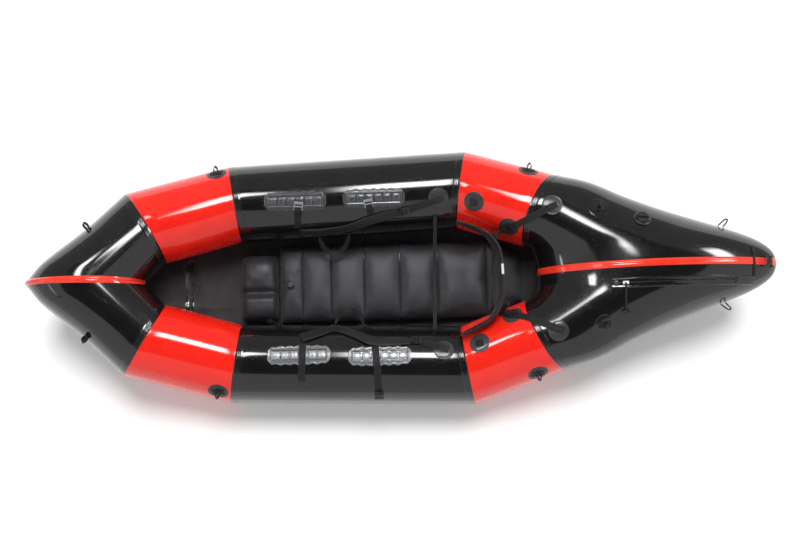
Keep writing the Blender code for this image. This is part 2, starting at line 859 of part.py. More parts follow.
def floor_sheet():
    """The floor: flat between the mid panels and following the tubes' undersides to bow and stern."""
    lows = [low_point(cut) for cuts in PANEL_CUTS for cut in cuts]
    edges = [mixed(lows[1], lows[0], FLOOR_BOW_SHARE)]
    edges += [(lows[i] + lows[i + 1]) / 2 for i in (1, 3, 5)]
    outs = [2 * j / (FLOOR_COLUMNS - 1) - 1 for j in range(FLOOR_COLUMNS)]
    rows = [[Vector((edge.x, edge.y * out, edge.z)) for out in outs] for edge in edges]
    last = []
    for out in outs:
        low = min(stern_ring(1 - abs(out), TUBE_SIDES), key=lambda p: p.z)
        spot = Vector((low.x, abs(low.y), low.z - FLOOR_STERN_DROP)) if abs(out) < 1 else lows[7]
        last.append(spot if out >= 0 else mirrored(spot))
    rows.append(last)
    under = [[p - UP * FLOOR_THICK for p in row] for row in rows]
    floor = slab("floor_sheet", under, rows, split=True)
    add_object("floor_sheet", floor, "floor_fabric", round_piece=False)
    return rows


def centre_tapes():
    """The red tapes over the bow's mitre and down the stern's middle."""
    mitre = PANEL_CUTS[BOW][0]
    path = []
    for i in range(TAPE_STEPS + 1):
        turn = math.radians(mixed(*BOW_TAPE_TURNS, i / TAPE_STEPS))
        place = mitre.centre + mitre.side * (TUBE_RADIUS * math.cos(turn))
        place += mitre.top * (TUBE_RADIUS * math.sin(turn))
        out = place - mitre.centre
        path.append((place, Vector((out.x, 0, out.z)).normalized()))
    tape = laid("bow_centre_tape", path, CENTRE_TAPE_WIDTH, TAPE_THICK, GAP * 2)
    add_object("bow_centre_tape", tape, "red_fabric")
    ring = stern_ring(1.0, TUBE_SIDES)
    middle = sum(ring, Vector()) / TUBE_SIDES
    first, last = (round(turn * TUBE_SIDES / 360) for turn in STERN_TAPE_TURNS)
    places = [ring[i % TUBE_SIDES] for i in range(first, last + 1)]
    path = []
    for place, way in zip(places, directions(places)):
        normal = way.cross(Vector((0, 1, 0)))
        path.append((place, normal if normal.dot(place - middle) > 0 else -normal))
    tape = laid("stern_centre_tape", path, CENTRE_TAPE_WIDTH, TAPE_THICK)
    add_object("stern_centre_tape", tape, "red_fabric")


def patch_seats(side):
    """The seats of one side's inner patches, bow first, each with its along towards the bow."""
    seats = [tube_seat(x, angle, side, FORWARD) for x, angle in INNER_PATCHES]
    seats.append(above_seat(stern_x(STERN_PATCH_SHARE), STERN_PATCH_OUT * side, FORWARD))
    return seats


def outer_seats(side):
    """The seats of one side's outer patches: the two quarters and the stern's flank."""
    seats = [tube_seat(x, angle, side, FORWARD) for x, angle in OUTER_PATCHES]
    seats.append(above_seat(stern_x(SIDE_PATCH_SHARE), SIDE_PATCH_OUT * side, FORWARD))
    return seats


def fused(name, look, main_mesh, others, pivot=None):
    """One body from a piece and the pieces sewn or moulded to it."""
    obj = add_object(name, main_mesh, look, pivot)
    for i, mesh in enumerate(others):
        if pivot is not None:
            mesh.transform(Matrix.Translation(-pivot))
        extra = bpy.data.objects.new(name + "_added", mesh)
        bpy.context.scene.collection.objects.link(extra)
        extra.location = obj.location
        extra.hide_render = True
        extra.display_type = "WIRE"
        union = obj.modifiers.new("union", "BOOLEAN")
        union.operation = "UNION"
        union.object = extra
    return obj


def anchors():
    """Round patches outside the hull, each with a loop sewn to it, the bow's loops and the stern's handle."""
    for where, side in SIDES:
        names = ("bow_quarter_anchor_", "stern_quarter_anchor_", "stern_side_anchor_")
        for name, seat, lift in zip(names, outer_seats(side), (GAP, GAP, STERN_LIFT)):
            patch = round_patch(name + where, seat, PATCH_RADIUS, PATCH_THICK, lift)
            foot = seat.raised(lift + PATCH_THICK * SEWN_DEPTH_SHARE)
            loop = arch("loop", foot, LOOP_SPAN, LOOP_RISE, LOOP_WIDTH, WEBBING_THICK)
            fused(name + where, "patch_fabric", patch, [loop])
        seat = tube_seat(*BOW_LOOP, side, FORWARD).raised(GAP)
        loop = arch("loop", seat, LOOP_SPAN, LOOP_RISE, LOOP_WIDTH, WEBBING_THICK)
        add_object("bow_loop_" + where, loop, "webbing")
        patch = round_patch("patch", patch_seats(side)[1], PATCH_RADIUS, PATCH_THICK)
        add_object("rear_patch_" + where, patch, "patch_fabric")
    tip = above_seat(stern_x(HANDLE_SHARE), 0, Vector((0, 1, 0))).raised(GAP * 2 + TAPE_THICK)
    soles = [HULL.near(tip.at(out * HANDLE_SPAN / 2))[0] for out in (-1, 1)]
    handle = arch("handle", tip, HANDLE_SPAN, HANDLE_RISE, LOOP_WIDTH, WEBBING_THICK, soles)
    add_object("stern_handle", handle, "webbing")


def daisy_chain(name, x, angle, side):
    """A moulded patch with a raised row of cells and a wavy edge, welded along a mid panel."""
    rows, columns = DAISY_ROWS, DAISY_COLUMNS
    half_length, half_width = DAISY_LENGTH / 2, DAISY_WIDTH / 2
    under, over = [], []
    seat = tube_seat(x, angle, side, FORWARD)
    for i in range(rows + 1):
        along = 2 * i / rows - 1
        wave = 1 + DAISY_WAVE_SHARE * math.cos(along * math.pi * DAISY_WAVES)
        end = DAISY_END_SHARE + (1 - DAISY_END_SHARE) * math.sqrt(1 - abs(along) ** 6)
        cell = along * half_length / DAISY_INNER_LENGTH * math.tau * DAISY_CELLS
        low_row, high_row = [], []
        for j in range(columns + 1):
            across = 2 * j / columns - 1
            place, normal = HULL.near(seat.at(along * half_length, across * half_width * wave * end))
            inside = abs(along) * half_length < DAISY_INNER_LENGTH / 2
            inside = inside and abs(across) * half_width < DAISY_INNER_WIDTH / 2
            crown = (1 - DAISY_DIP_SHARE * (1 - math.cos(cell)) / 2) * inside
            low_row.append(place + normal * DAISY_LIFT)
            high_row.append(place + normal * (DAISY_LIFT + mixed(DAISY_BASE, DAISY_RISE, crown)))
        under.append(low_row)
        over.append(high_row)
    add_object(name, slab(name, under, over), "clear_patch")


def daisy_chains():
    """The four moulded chains of tie-down cells on the mid panels."""
    for where, side, places in (("starboard", 1, DAISIES_STARBOARD), ("port", -1, DAISIES_PORT)):
        for end, (x, angle) in zip(("bow", "stern"), places):
            daisy_chain("daisy_chain_" + end + "_" + where, x, angle, side)


def prism(name, seat, cells, xs, ys, low, high):
    """One closed body from cells of a grid, all of the same height, standing on the seat."""
    bm = bmesh.new()
    corners = {}

    def corner(i, j, k):
        if (i, j, k) not in corners:
            corners[i, j, k] = bm.verts.new(seat.at(xs[i], ys[j], (low, high)[k]))
        return corners[i, j, k]

    for i, j in cells:
        for k in (0, 1):
            corners_round = ((i, j), (i, j + 1), (i + 1, j + 1), (i + 1, j))
            bm.faces.new([corner(*at, k) for at in corners_round])
        edges = {
            (-1, 0): ((i, j), (i, j + 1)),
            (1, 0): ((i + 1, j), (i + 1, j + 1)),
            (0, -1): ((i, j), (i + 1, j)),
            (0, 1): ((i, j + 1), (i + 1, j + 1)),
        }
        for (di, dj), (a, b) in edges.items():
            if (i + di, j + dj) not in cells:
                bm.faces.new([corner(*a, 0), corner(*b, 0), corner(*b, 1), corner(*a, 1)])
    bmesh.ops.recalc_face_normals(bm, faces=bm.faces)
    mesh = bpy.data.meshes.new(name)
    bm.to_mesh(mesh)
    bm.free()
    return mesh


LOCK_LENGTH = LOCK_BAR * 2 + LOCK_SLOT * 2 + LOCK_LIP


def ladder_lock(name, seat):
    """A ladder lock on its seat: two rails, two bars and a lip, turning about its front bar."""
    raised = seat.raised(LOCK_LIFT)
    runs = (LOCK_BAR, LOCK_SLOT, LOCK_BAR, LOCK_SLOT, LOCK_LIP)
    xs = [sum(runs[:i]) for i in range(len(runs) + 1)]
    ys = [-LOCK_WIDTH / 2, -LOCK_WIDTH / 2 + LOCK_RAIL, LOCK_WIDTH / 2 - LOCK_RAIL, LOCK_WIDTH / 2]
    cells = {(i, j) for i in range(len(runs)) for j in range(3)} - {(1, 1), (3, 1)}
    mesh = prism(name, raised, cells, xs, ys, 0.0, LOCK_BAR)
    pivot = raised.at(along=LOCK_BAR / 2, up=LOCK_BAR / 2)
    return add_object(name, mesh, "black_plastic", pivot, round_piece=False)


def looped_end(seat):
    """The end of a strap that passes under a lock's front bar, up through the slot and back over it."""
    bar = seat.at(along=LOCK_BAR / 2, up=LOCK_LIFT + LOCK_BAR / 2)
    reach = LOCK_BAR / math.sqrt(2) + LOCK_LOOP_CLEARANCE + WEBBING_THICK / 2
    stations = []
    for i in range(LOOPED_END_STEPS + 1):
        turn = math.pi * i / LOOPED_END_STEPS
        out = seat.along * math.sin(turn) - seat.up * math.cos(turn)
        stations.append((bar + out * reach, -out))
    last, way_up = stations[-1]
    stations.append((last - seat.along * LOCK_TURNED_BACK, way_up))
    return stations


def resting(path):
    """Stations for webbing that lies on the path, from its spots and ways out."""
    return [(place + normal * (GAP + WEBBING_THICK / 2), normal) for place, normal in path]


def lock_seat_after(path):
    """The seat of a lock whose front bar stands just past the end of a path."""
    (before, _), (end, normal) = path[-2:]
    seat = Seat(end, normal, end - before)
    return Seat(seat.at(along=LOCK_BAR), normal, seat.along)


def thigh_straps():
    """The padded thigh straps, each drawn in to webbing where it loops into its lock."""
    for where, side in SIDES:
        path = tube_path(THIGH_MARKS_STARBOARD if side > 0 else THIGH_MARKS_PORT, side, THIGH_STEPS)
        seat = lock_seat_after(path)
        stations = resting(path) + looped_end(seat)
        widths = []
        for i in range(len(stations)):
            share = i / THIGH_STEPS
            drawn = smooth_share(min(max((share - THIGH_TAPER_SHARES[0]) / THIGH_TAPER_SHARES[1], 0.0), 1.0))
            widths.append(mixed(THIGH_WIDTH, WEBBING_WIDTH, drawn))
        name = "thigh_strap_" + where
        add_object(name, band(name, stations, widths, WEBBING_THICK), "webbing")
        ladder_lock("thigh_lock_" + where, seat)
        anchored_tail("thigh_anchor_" + where, seat, patch_seats(side)[0])


def anchored_tail(name, lock_seat, seat, lift=GAP):
    """A round patch with the webbing sewn to it that runs forward under the lock."""
    patch = round_patch(name, seat, PATCH_RADIUS, PATCH_THICK, lift)
    under_bar = LOCK_LIFT - GAP * 2 - WEBBING_THICK / 2
    start = lock_seat.at(along=LOCK_BAR + LOCK_SLOT + LOCK_BAR / 2, up=under_bar)
    end = seat.at(along=-PATCH_RADIUS / 2)
    first_rise = (start - HULL.near(start)[0]).length
    stations = []
    for i in range(TAIL_STEPS + 1):
        share = i / TAIL_STEPS
        spot, normal = HULL.near(mixed(start, end, share))
        rise = mixed(GAP, lift, share) + PATCH_THICK * SEWN_DEPTH_SHARE + WEBBING_THICK / 2
        rise = mixed(first_rise, rise, min(share / TAIL_DROP_SHARE, 1.0))
        stations.append((spot + normal * rise, normal))
    tail = band("tail", stations, [WEBBING_WIDTH] * len(stations), WEBBING_THICK)
    fused(name, "webbing", patch, [tail])


def rear_straps(back):
    """The webbing from the backrest's ends to the rear locks, and the anchors behind the locks."""
    for where, side in SIDES:
        front, rear = patch_seats(side)[2:]
        seat = Seat(front.place + front.up * (GAP + PATCH_THICK), front.up, rear.place - front.place)
        seat = Seat(seat.at(along=-LOCK_LENGTH / 2), seat.up, seat.along)
        ladder_lock("rear_lock_" + where, seat)
        anchored_tail("rear_anchor_" + where, seat, rear, STERN_LIFT)
        loop = looped_end(seat)
        first = loop[0][0]
        before = first - seat.along * (LOCK_BAR * 2)
        start, out = back.strap_end(side)
        clear = seat.at(along=-STRAP_LEAD, up=STRAP_CLEAR)
        lead = out * STRAP_LEAD / 2
        knots = [start - lead, start, start + lead, clear, before, first, first + seat.along * LOCK_BAR]
        air = []
        for i in range(REAR_STRAP_STEPS):
            share = i / REAR_STRAP_STEPS
            way_up = mixed(UP, seat.up, min(share * 2, 1.0))
            air.append((curve_point(knots, share), way_up))
        stations = air + loop
        name = "rear_strap_" + where
        mesh = band(name, stations, [WEBBING_WIDTH] * len(stations), WEBBING_THICK)
        add_object(name, mesh, "webbing")


def chain_straps():
    """The straps laid over the daisy chains, three of them ending in a ladder lock."""
    for where, marks in CHAIN_STRAP_MARKS.items():
        side = 1 if where.endswith("starboard") else -1
        path = tube_path(marks, side, CHAIN_STRAP_STEPS)
        stations = resting(path)
        name = "chain_strap_" + where
        if where in CHAIN_LOCKS:
            seat = lock_seat_after(path)
            stations += looped_end(seat)
            ladder_lock("chain_lock_" + where, seat)
        mesh = band(name, stations, [WEBBING_WIDTH] * len(stations), WEBBING_THICK)
        add_object(name, mesh, "webbing")


def grab_loops():
    """A webbing handle on each side that reaches from the tube into the cockpit."""
    for where, side in SIDES:
        x1, angle1, x2, angle2, reach = GRAB_LOOPS[where]
        feet = [HULL.tube(x, angle, side) for x, angle in ((x1, angle1), (x2, angle2))]
        ends = [place + normal * GRAB_FOOT for place, normal in feet]
        out = (feet[0][1] + feet[1][1]).normalized()
        middle = (ends[0] + ends[1]) / 2
        across = (ends[1] - ends[0]) / 2
        top = Vector(((x1 + x2) / 2, reach * side, GRAB_HEIGHT)) - middle
        ahead = out * top.dot(out)
        stations = []
        for i in range(GRAB_STEPS + 1):
            turn = math.pi * i / GRAB_STEPS
            reached = ahead * math.sin(turn) + (top - ahead) * math.sin(turn) ** 2
            place = middle - across * math.cos(turn) + reached
            stations.append((place, (reached / top.length - across * math.cos(turn) / across.length)))
        soles = [place + normal * (GAP * 2) for place, normal in feet]
        stations = [(soles[0], stations[0][1])] + stations + [(soles[1], stations[-1][1])]
        name = "grab_loop_" + where
        mesh = band(name, stations, [GRAB_WIDTH] * len(stations), WEBBING_THICK)
        add_object(name, mesh, "webbing")


class Floor:
    """Finds how high the floor sheet reaches at any place along the raft."""

    def __init__(self, rows):
        self.rows = rows

    def height(self, x):
        """The highest that any of the sheet's lengthwise lines is at this X."""
        best = FLOOR_THICK
        for j in range(len(self.rows[0])):
            line = [row[j] for row in self.rows]
            for a, b in zip(line, line[1:]):
                if a.x <= x <= b.x:
                    best = max(best, mixed(a.z, b.z, (x - a.x) / (b.x - a.x)))
        return best


def pillow(name, rows, columns, shape):
    """A closed cushion; shape gives a place and the cushion's bottom, seam and top heights there."""
    under, over = [], []
    for i in range(rows + 1):
        low_row, high_row = [], []
        for j in range(columns + 1):
            x, y, low, high = shape(i, -math.cos(math.pi * j / columns))
            low_row.append(Vector((x, y, low)))
            high_row.append(Vector((x, y, high)))
        under.append(low_row)
        over.append(high_row)
    return slab(name, under, over)


class Mat:
    """The inflated seat mat: chambers side by side across the cockpit, and a narrow tail behind them."""

    def __init__(self, floor):
        self.floor = floor
        self.steps = MAT_CHAMBER_STEPS
        edges = [MAT_FRONT]
        for length in MAT_CHAMBERS + (MAT_TAIL_LENGTH,):
            edges.append(edges[-1] + length)
        self.stations = []
        last = len(edges) - 2
        for chamber, (start, end) in enumerate(zip(edges, edges[1:])):
            for k in range(self.steps + (chamber == last)):
                turn = math.pi * k / self.steps
                share = (1 - math.cos(turn)) / 2
                swell = math.sin(turn)
                at_end = (chamber == 0 and share < 0.5) or (chamber == last and share > 0.5)
                tail = share if chamber == last else 0.0
                crown = mixed(MAT_HEIGHT, MAT_TAIL_HEIGHT, smooth_share(tail))
                groove = MAT_END_HEIGHT if at_end else crown - MAT_GROOVE_DEPTH
                wide = mixed(MAT_GROOVE_HALF_WIDTH, MAT_HALF_WIDTH, swell)
                wide = mixed(wide, MAT_TAIL_HALF_WIDTH, smooth_share(tail))
                self.stations.append((mixed(start, end, share), mixed(groove, crown, swell), wide))

    def station(self, i, across):
        """The place and the heights of the mat's skin at a station and a share of its half width."""
        x, height, wide = self.stations[i]
        base = self.floor.height(x) + GAP
        seam = base + height * MAT_SEAM_SHARE
        crown = math.sqrt(max(1 - across**4, 0.0))
        low = mixed(seam - PILLOW_EDGE / 2, base, math.sqrt(max(1 - across**12, 0.0)))
        return x, wide * across, low, seam + PILLOW_EDGE / 2 + (height * (1 - MAT_SEAM_SHARE)) * crown

    def top(self, x):
        """The mat's height over the floor along its middle line."""
        tops = [(self.stations[i][0], self.station(i, 0.0)[3]) for i in range(len(self.stations))]
        for (x1, z1), (x2, z2) in zip(tops, tops[1:]):
            if x1 <= x <= x2:
                return mixed(z1, z2, (x - x1) / (x2 - x1))
        return tops[-1][1]

    def build(self):
        """Makes the mat's node."""
        mesh = pillow("seat_mat", len(self.stations) - 1, MAT_COLUMNS, self.station)
        add_object("seat_mat", mesh, "mat_fabric")


def foot_cushion():
    """The folded foot cushion ahead of the mat: two lobes with a fold between them."""

    def shape(i, across):
        """The cushion's place and heights at a row and a share of its half width."""
        along = -math.cos(math.pi * i / CUSHION_ROWS)
        y = mixed(CUSHION_PORT, CUSHION_STARBOARD, (across + 1) / 2)
        draw = 1 - CUSHION_DRAW_SHARE * across**4
        x = CUSHION_FRONT + CUSHION_LENGTH / 2 * (1 + along * draw)
        y = mixed(y, (CUSHION_PORT + CUSHION_STARBOARD) / 2, CUSHION_DRAW_SHARE * along**4)
        base = FLOOR_THICK + GAP
        crown = math.sqrt(max(1 - across**6, 0.0) * max(1 - along**4, 0.0))
        fold = math.exp(-(((y - CUSHION_FOLD_Y) / CUSHION_FOLD_WIDTH) ** 2)) * CUSHION_FOLD_DEPTH
        seam = base + CUSHION_HEIGHT * MAT_SEAM_SHARE
        flat = math.sqrt(max(1 - across**12, 0.0) * max(1 - along**12, 0.0))
        low = mixed(seam - PILLOW_EDGE / 2, base, flat)
        high = seam + PILLOW_EDGE / 2 + (CUSHION_HEIGHT * (1 - MAT_SEAM_SHARE) - fold) * crown
        return x, y, low, high

    add_object("foot_cushion", pillow("foot_cushion", CUSHION_ROWS, CUSHION_COLUMNS, shape), "mat_fabric")


def mat_valve(mat):
    """The mat's twist valve: a welded base and a knob that turns on it."""
    reaches = [MAT_VALVE_RADIUS * share for share in (-1.0, -0.5, 0.0, 0.5, 1.0)]
    height = max(mat.top(MAT_VALVE_X + reach) for reach in reaches) + GAP
    seat = Seat(Vector((MAT_VALVE_X, MAT_VALVE_Y, height)), UP, FORWARD)
    rise = MAT_VALVE_RISE
    inner = MAT_KNOB_RADIUS
    base = [(0, 0), (MAT_VALVE_RADIUS, 0), (MAT_VALVE_RADIUS, rise * FLANGE_EDGE_SHARE)]
    base += [(inner + MAT_VALVE_COLLAR, rise), (0, rise)]
    add_object("mat_valve_base", turned("mat_valve_base", base, seat), "black_plastic")
    top = seat.raised(rise + GAP)
    knob = [(0, 0), (inner, 0), (MAT_KNOB_SHOULDER_RADIUS, MAT_KNOB_RISE * MAT_KNOB_SHOULDER_SHARE)]
    knob += [(MAT_KNOB_TOP_RADIUS, MAT_KNOB_RISE), (0, MAT_KNOB_RISE)]
    add_object("mat_valve_knob", turned("mat_valve_knob", knob, top), "black_plastic", top.place)


def main_valve():
    """The inflation valve: a flanged ring welded to the stern and a cap with a grip that turns in it."""
    seat = above_seat(stern_x(VALVE_SHARE), VALVE_Y, FORWARD).raised(GAP)
    outer, bore, rise = VALVE_FLANGE_RADIUS, VALVE_BORE_RADIUS, VALVE_FLANGE_RISE
    ring = [(bore, 0), (outer, 0), (outer, rise * FLANGE_EDGE_SHARE)]
    ring += [(CAP_RADIUS + VALVE_COLLAR, rise), (bore, rise)]
    add_object("main_valve_base", turned_ring("main_valve_base", ring, seat), "black_plastic")
    top = seat.raised(rise + GAP)
    plug = -(rise - GAP)
    cap = [(0, plug), (CAP_PLUG_RADIUS, plug), (CAP_PLUG_RADIUS, 0), (CAP_RADIUS, 0)]
    cap += [(CAP_RADIUS, CAP_RISE * CAP_SHOULDER_SHARE), (CAP_TOP_RADIUS, CAP_RISE), (0, CAP_RISE)]
    grip = prism(
        "grip",
        top,
        {(0, 0)},
        (-CAP_GRIP_HALF_LENGTH, CAP_GRIP_HALF_LENGTH),
        (-CAP_GRIP_WIDTH / 2, CAP_GRIP_WIDTH / 2),
        CAP_RISE / 2,
        CAP_RISE + CAP_GRIP_RISE,
    )
    fused("main_valve_cap", "black_plastic", turned("main_valve_cap", cap, top), [grip], top.place)


class ZipArc:
    """The arc of the zipper's chain, through three places a little above the stern's top."""

    def __init__(self):
        self.start, self.end = (stern_x(share) for share in ZIP_SHARES)
        places = []
        for share in ZIP_FIT_SHARES:
            spot, normal = HULL.above(mixed(self.start, self.end, share), ZIP_Y)
            places.append(spot + UP * (ZIP_CHAIN_LIFT / normal.z))
        first, middle, last = places
        chords = ((first, middle), (middle, last))
        slopes = [(b.x - a.x) / (b.z - a.z) for a, b in chords]
        mids = [(a + b) / 2 for a, b in chords]
        rise = mids[1].z - mids[0].z + slopes[1] * mids[1].x - slopes[0] * mids[0].x
        x = rise / (slopes[1] - slopes[0])
        z = mids[0].z - slopes[0] * (x - mids[0].x)
        self.centre = Vector((x, ZIP_Y, z))
        self.radius = math.hypot(first.x - x, first.z - z)

    def point(self, x):
        """A place on the arc, and its way out there."""
        run = x - self.centre.x
        out = Vector((run, 0, math.sqrt(self.radius**2 - run**2)))
        return self.centre + out, out.normalized()


def zipper():
    """The cargo zipper: its tape, its closed chain, and a slider with its pull."""
    arc = ZipArc()
    xs = [mixed(arc.start, arc.end, i / ZIP_STEPS) for i in range(ZIP_STEPS + 1)]
    path = [HULL.above(x, ZIP_Y) for x in xs]
    tape = laid("zipper_tape", path, ZIP_TAPE_WIDTH, ZIP_TAPE_THICK, ZIP_TAPE_LIFT)
    add_object("zipper_tape", tape, "black_fabric")
    chain = rod("zipper_chain", [arc.point(x)[0] for x in xs], ZIP_CHAIN_RADIUS)
    add_object("zipper_chain", chain, "black_plastic")
    slider_x = stern_x(SLIDER_SHARE)
    place, out = arc.point(slider_x)
    _, way_up = HULL.above(slider_x, ZIP_Y)
    tangent = Vector((0, 1, 0)).cross(out)
    seat = Seat(place, way_up - tangent * way_up.dot(tangent), tangent)
    slider(seat)
    pull(seat)


def slider(seat):
    """The slider: a saddle over the chain with a bridge for the pull's eye."""
    inner = ZIP_CHAIN_RADIUS + SLIDER_CHANNEL
    outline = [(inner, 0.0), (inner + SLIDER_WALL, 0.0), (SLIDER_SHOULDER, inner)]
    outline.append((SLIDER_SHOULDER, SLIDER_TOP))
    outline += [(-y, z) for y, z in outline[::-1]]
    outline += [(-inner, inner), (inner, inner)]
    ends = []
    for along in (-SLIDER_LENGTH / 2, SLIDER_LENGTH / 2):
        ends += [seat.at(along, y, z) for y, z in outline]
    count = len(outline)
    faces = [tuple(range(count)), tuple(range(count, count * 2))]
    faces += [(i, (i + 1) % count, (i + 1) % count + count, i + count) for i in range(count)]
    body = mesh_of("zipper_slider", ends, faces)
    half = BRIDGE_LENGTH / 2
    low = SLIDER_TOP - BRIDGE_BAR / 2
    high = SLIDER_TOP + BRIDGE_RISE
    across = (-BRIDGE_BAR / 2, BRIDGE_BAR / 2)
    posts = [
        prism("post", seat, {(0, 0)}, (-half, -half + BRIDGE_POST), across, low, high),
        prism("post", seat, {(0, 0)}, (half - BRIDGE_POST, half), across, low, high),
        prism("bar", seat, {(0, 0)}, (-half, half), across, high - BRIDGE_BAR, high),
    ]
    fused("zipper_slider", "bright_metal", body, posts, seat.place)


def pull(seat):
    """The pull: an eye round the slider's bridge, a flat shank and a cross bar to hold."""
    bar = seat.at(up=SLIDER_TOP + BRIDGE_RISE - BRIDGE_BAR / 2)
    eye_radius = BRIDGE_BAR / math.sqrt(2) + PULL_EYE_CLEARANCE + PULL_WIRE
    end_place, _ = HULL.above(bar.x, PULL_END_Y)
    end = end_place + UP * PULL_END_LIFT
    way = (end - bar).normalized()
    side = seat.along
    turns = [math.tau * k / EYE_SIDES for k in range(EYE_SIDES)]
    up = side.cross(way)
    eye = [bar + (way * math.cos(a) + up * math.sin(a)) * eye_radius for a in turns]
    ring = rod("zipper_pull", eye, PULL_WIRE, 6, closed=True)
    hold = Seat(bar, up, way)
    start = eye_radius - PULL_WIRE * 0.5
    length = (end - bar).length
    half = PULL_SHANK_WIDTH / 2
    thick = PULL_SHANK_THICK / 2
    shank = prism("shank", hold, {(0, 0)}, (start, length), (-half, half), -thick, thick)
    half = PULL_BAR_LENGTH / 2
    cross = prism("cross", hold, {(0, 0)}, (length - PULL_BAR_WIDTH, length), (-half, half), -thick, thick)
    fused("zipper_pull", "black_plastic", ring, [shank, cross], bar)


class Backrest:
    """The backrest: a curved pad that stands on the mat, with a piped top edge."""

    def __init__(self, mat):
        self.pivot_z = mat.top(BACK_X - BACK_LEAN) + BACK_SEAT_GAP + BACK_THICK / 2
        self.columns = BACK_COLUMNS
        self.rows = BACK_ROWS

    def plan(self, across):
        """The middle line's place in plan, and its way out towards the stern."""
        x = BACK_X - BACK_DEPTH * across**4
        slope = -4 * BACK_DEPTH * across**3 / BACK_HALF_WIDTH
        return Vector((x, BACK_OUT + BACK_HALF_WIDTH * across, 0)), Vector((1, -slope, 0)).normalized()

    def heights(self, across):
        """The lowest and highest of the pad here: its wings clear the tubes."""
        start, reach = BACK_EASE_SHARES
        share = smooth_share(min(max((abs(across) - start) / reach, 0.0), 1.0))
        low = mixed(self.pivot_z - BACK_THICK / 2, BACK_WING_FOOT, share)
        return low, BACK_TOP - BACK_CORNER_DROP * across**4

    def middle(self, across, share):
        """A point of the pad's middle sheet, and its way out towards the stern."""
        place, out = self.plan(across)
        low, high = self.heights(across)
        z = mixed(low, high, share)
        lean = BACK_LEAN * (1 - (z - self.pivot_z) / (BACK_TOP - self.pivot_z))
        return place + UP * z - Vector((lean, 0, 0)), out

    def across(self, j):
        """The share of the half width at a column, with the columns closer together at the ends."""
        spread = BACK_COLUMN_SPREAD
        return math.sin(spread * (2 * j / self.columns - 1)) / math.sin(spread)

    def build(self):
        """Makes the pad and the piping along its top edge."""
        front, back = [], []
        for i in range(self.rows + 1):
            share = (1 - math.cos(math.pi * i / self.rows)) / 2
            thick = BACK_THICK / 2 * max(math.sqrt(1 - (2 * share - 1) ** 6), BACK_EDGE_SHARE)
            front_row, back_row = [], []
            for j in range(self.columns + 1):
                place, out = self.middle(self.across(j), share)
                front_row.append(place - out * thick)
                back_row.append(place + out * thick)
            front.append(front_row)
            back.append(back_row)
        pivot = Vector((BACK_X - BACK_LEAN, 0, self.pivot_z))
        add_object("backrest_pad", slab("backrest_pad", front, back), "padding", pivot)
        edge = []
        for j in range(self.columns + 1):
            place, _ = self.middle(self.across(j), 1.0)
            edge.append(place + UP * (PIPING_RADIUS + GAP * 2))
        piping = rod("backrest_piping", edge, PIPING_RADIUS, 6)
        add_object("backrest_piping", piping, "webbing", pivot)

    def strap_end(self, side):
        """Where a rear strap leaves the pad's back, and the way out there."""
        across = (STRAP_OUT * side - BACK_OUT) / BACK_HALF_WIDTH
        place, out = self.middle(across, STRAP_HEIGHT_SHARE)
        return place + out * (BACK_THICK / 2 + STRAP_OFF), out


def centred():
    """Moves every piece so that the raft's middle stands over the origin."""
    bpy.context.view_layer.update()
    places = []
    for obj in bpy.context.scene.objects:
        places += [(obj.matrix_world @ Vector(corner)).x for corner in obj.bound_box]
    shift = -(min(places) + max(places)) / 2
    for obj in bpy.context.scene.objects:
        obj.location.x += shift


def main():
    """Builds every piece."""
    global HULL
    for obj in list(bpy.data.objects):
        bpy.data.objects.remove(obj, do_unlink=True)
    HULL = Hull()
    hull_panels()
    floor = Floor(floor_sheet())
    centre_tapes()
    anchors()
    daisy_chains()
    thigh_straps()
    chain_straps()
    grab_loops()
    mat = Mat(floor)
    mat.build()
    foot_cushion()
    mat_valve(mat)
    back = Backrest(mat)
    back.build()
    rear_straps(back)
    main_valve()
    zipper()
    centred()


if __name__ == "__main__":
    main()
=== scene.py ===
"""The looks of an inflated packraft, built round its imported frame.

X runs from the bow to the stern, Y to the paddler's right (starboard) and Z up, in metres. A place on a
tube is given by how far it lies along X and by its angle round the tube, from the top line towards the
cockpit. Every soft piece replaces its plain solid, and what is hard keeps its own with a finer finish.
"""

import logging
import math
from collections.abc import Sequence
from dataclasses import dataclass, field
from enum import Enum

import bmesh
import bpy
from mathutils import Matrix, Vector, noise
from mathutils.bvhtree import BVHTree


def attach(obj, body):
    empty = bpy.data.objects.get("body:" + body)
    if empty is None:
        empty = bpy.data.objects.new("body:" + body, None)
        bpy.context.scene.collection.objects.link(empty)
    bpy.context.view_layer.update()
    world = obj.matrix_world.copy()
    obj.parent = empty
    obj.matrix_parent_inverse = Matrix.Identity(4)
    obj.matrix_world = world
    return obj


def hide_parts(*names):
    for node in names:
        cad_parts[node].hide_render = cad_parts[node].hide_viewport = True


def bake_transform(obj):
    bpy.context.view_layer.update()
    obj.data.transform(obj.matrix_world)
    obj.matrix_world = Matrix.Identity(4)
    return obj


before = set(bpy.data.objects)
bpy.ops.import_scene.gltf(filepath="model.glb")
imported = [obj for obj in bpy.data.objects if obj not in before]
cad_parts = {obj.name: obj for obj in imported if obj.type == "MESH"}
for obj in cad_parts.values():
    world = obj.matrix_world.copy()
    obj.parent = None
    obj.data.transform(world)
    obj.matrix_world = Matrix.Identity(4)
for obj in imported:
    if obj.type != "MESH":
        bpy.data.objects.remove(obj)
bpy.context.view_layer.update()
LOG = logging.getLogger("packraft")

Colour = tuple[float, float, float]
Pair = tuple[float, float]
Mark = tuple[float, float, float]
Station = tuple[Vector, Vector]
Size = float | Sequence[float]
Value = float | Vector
Socket = bpy.types.NodeSocket

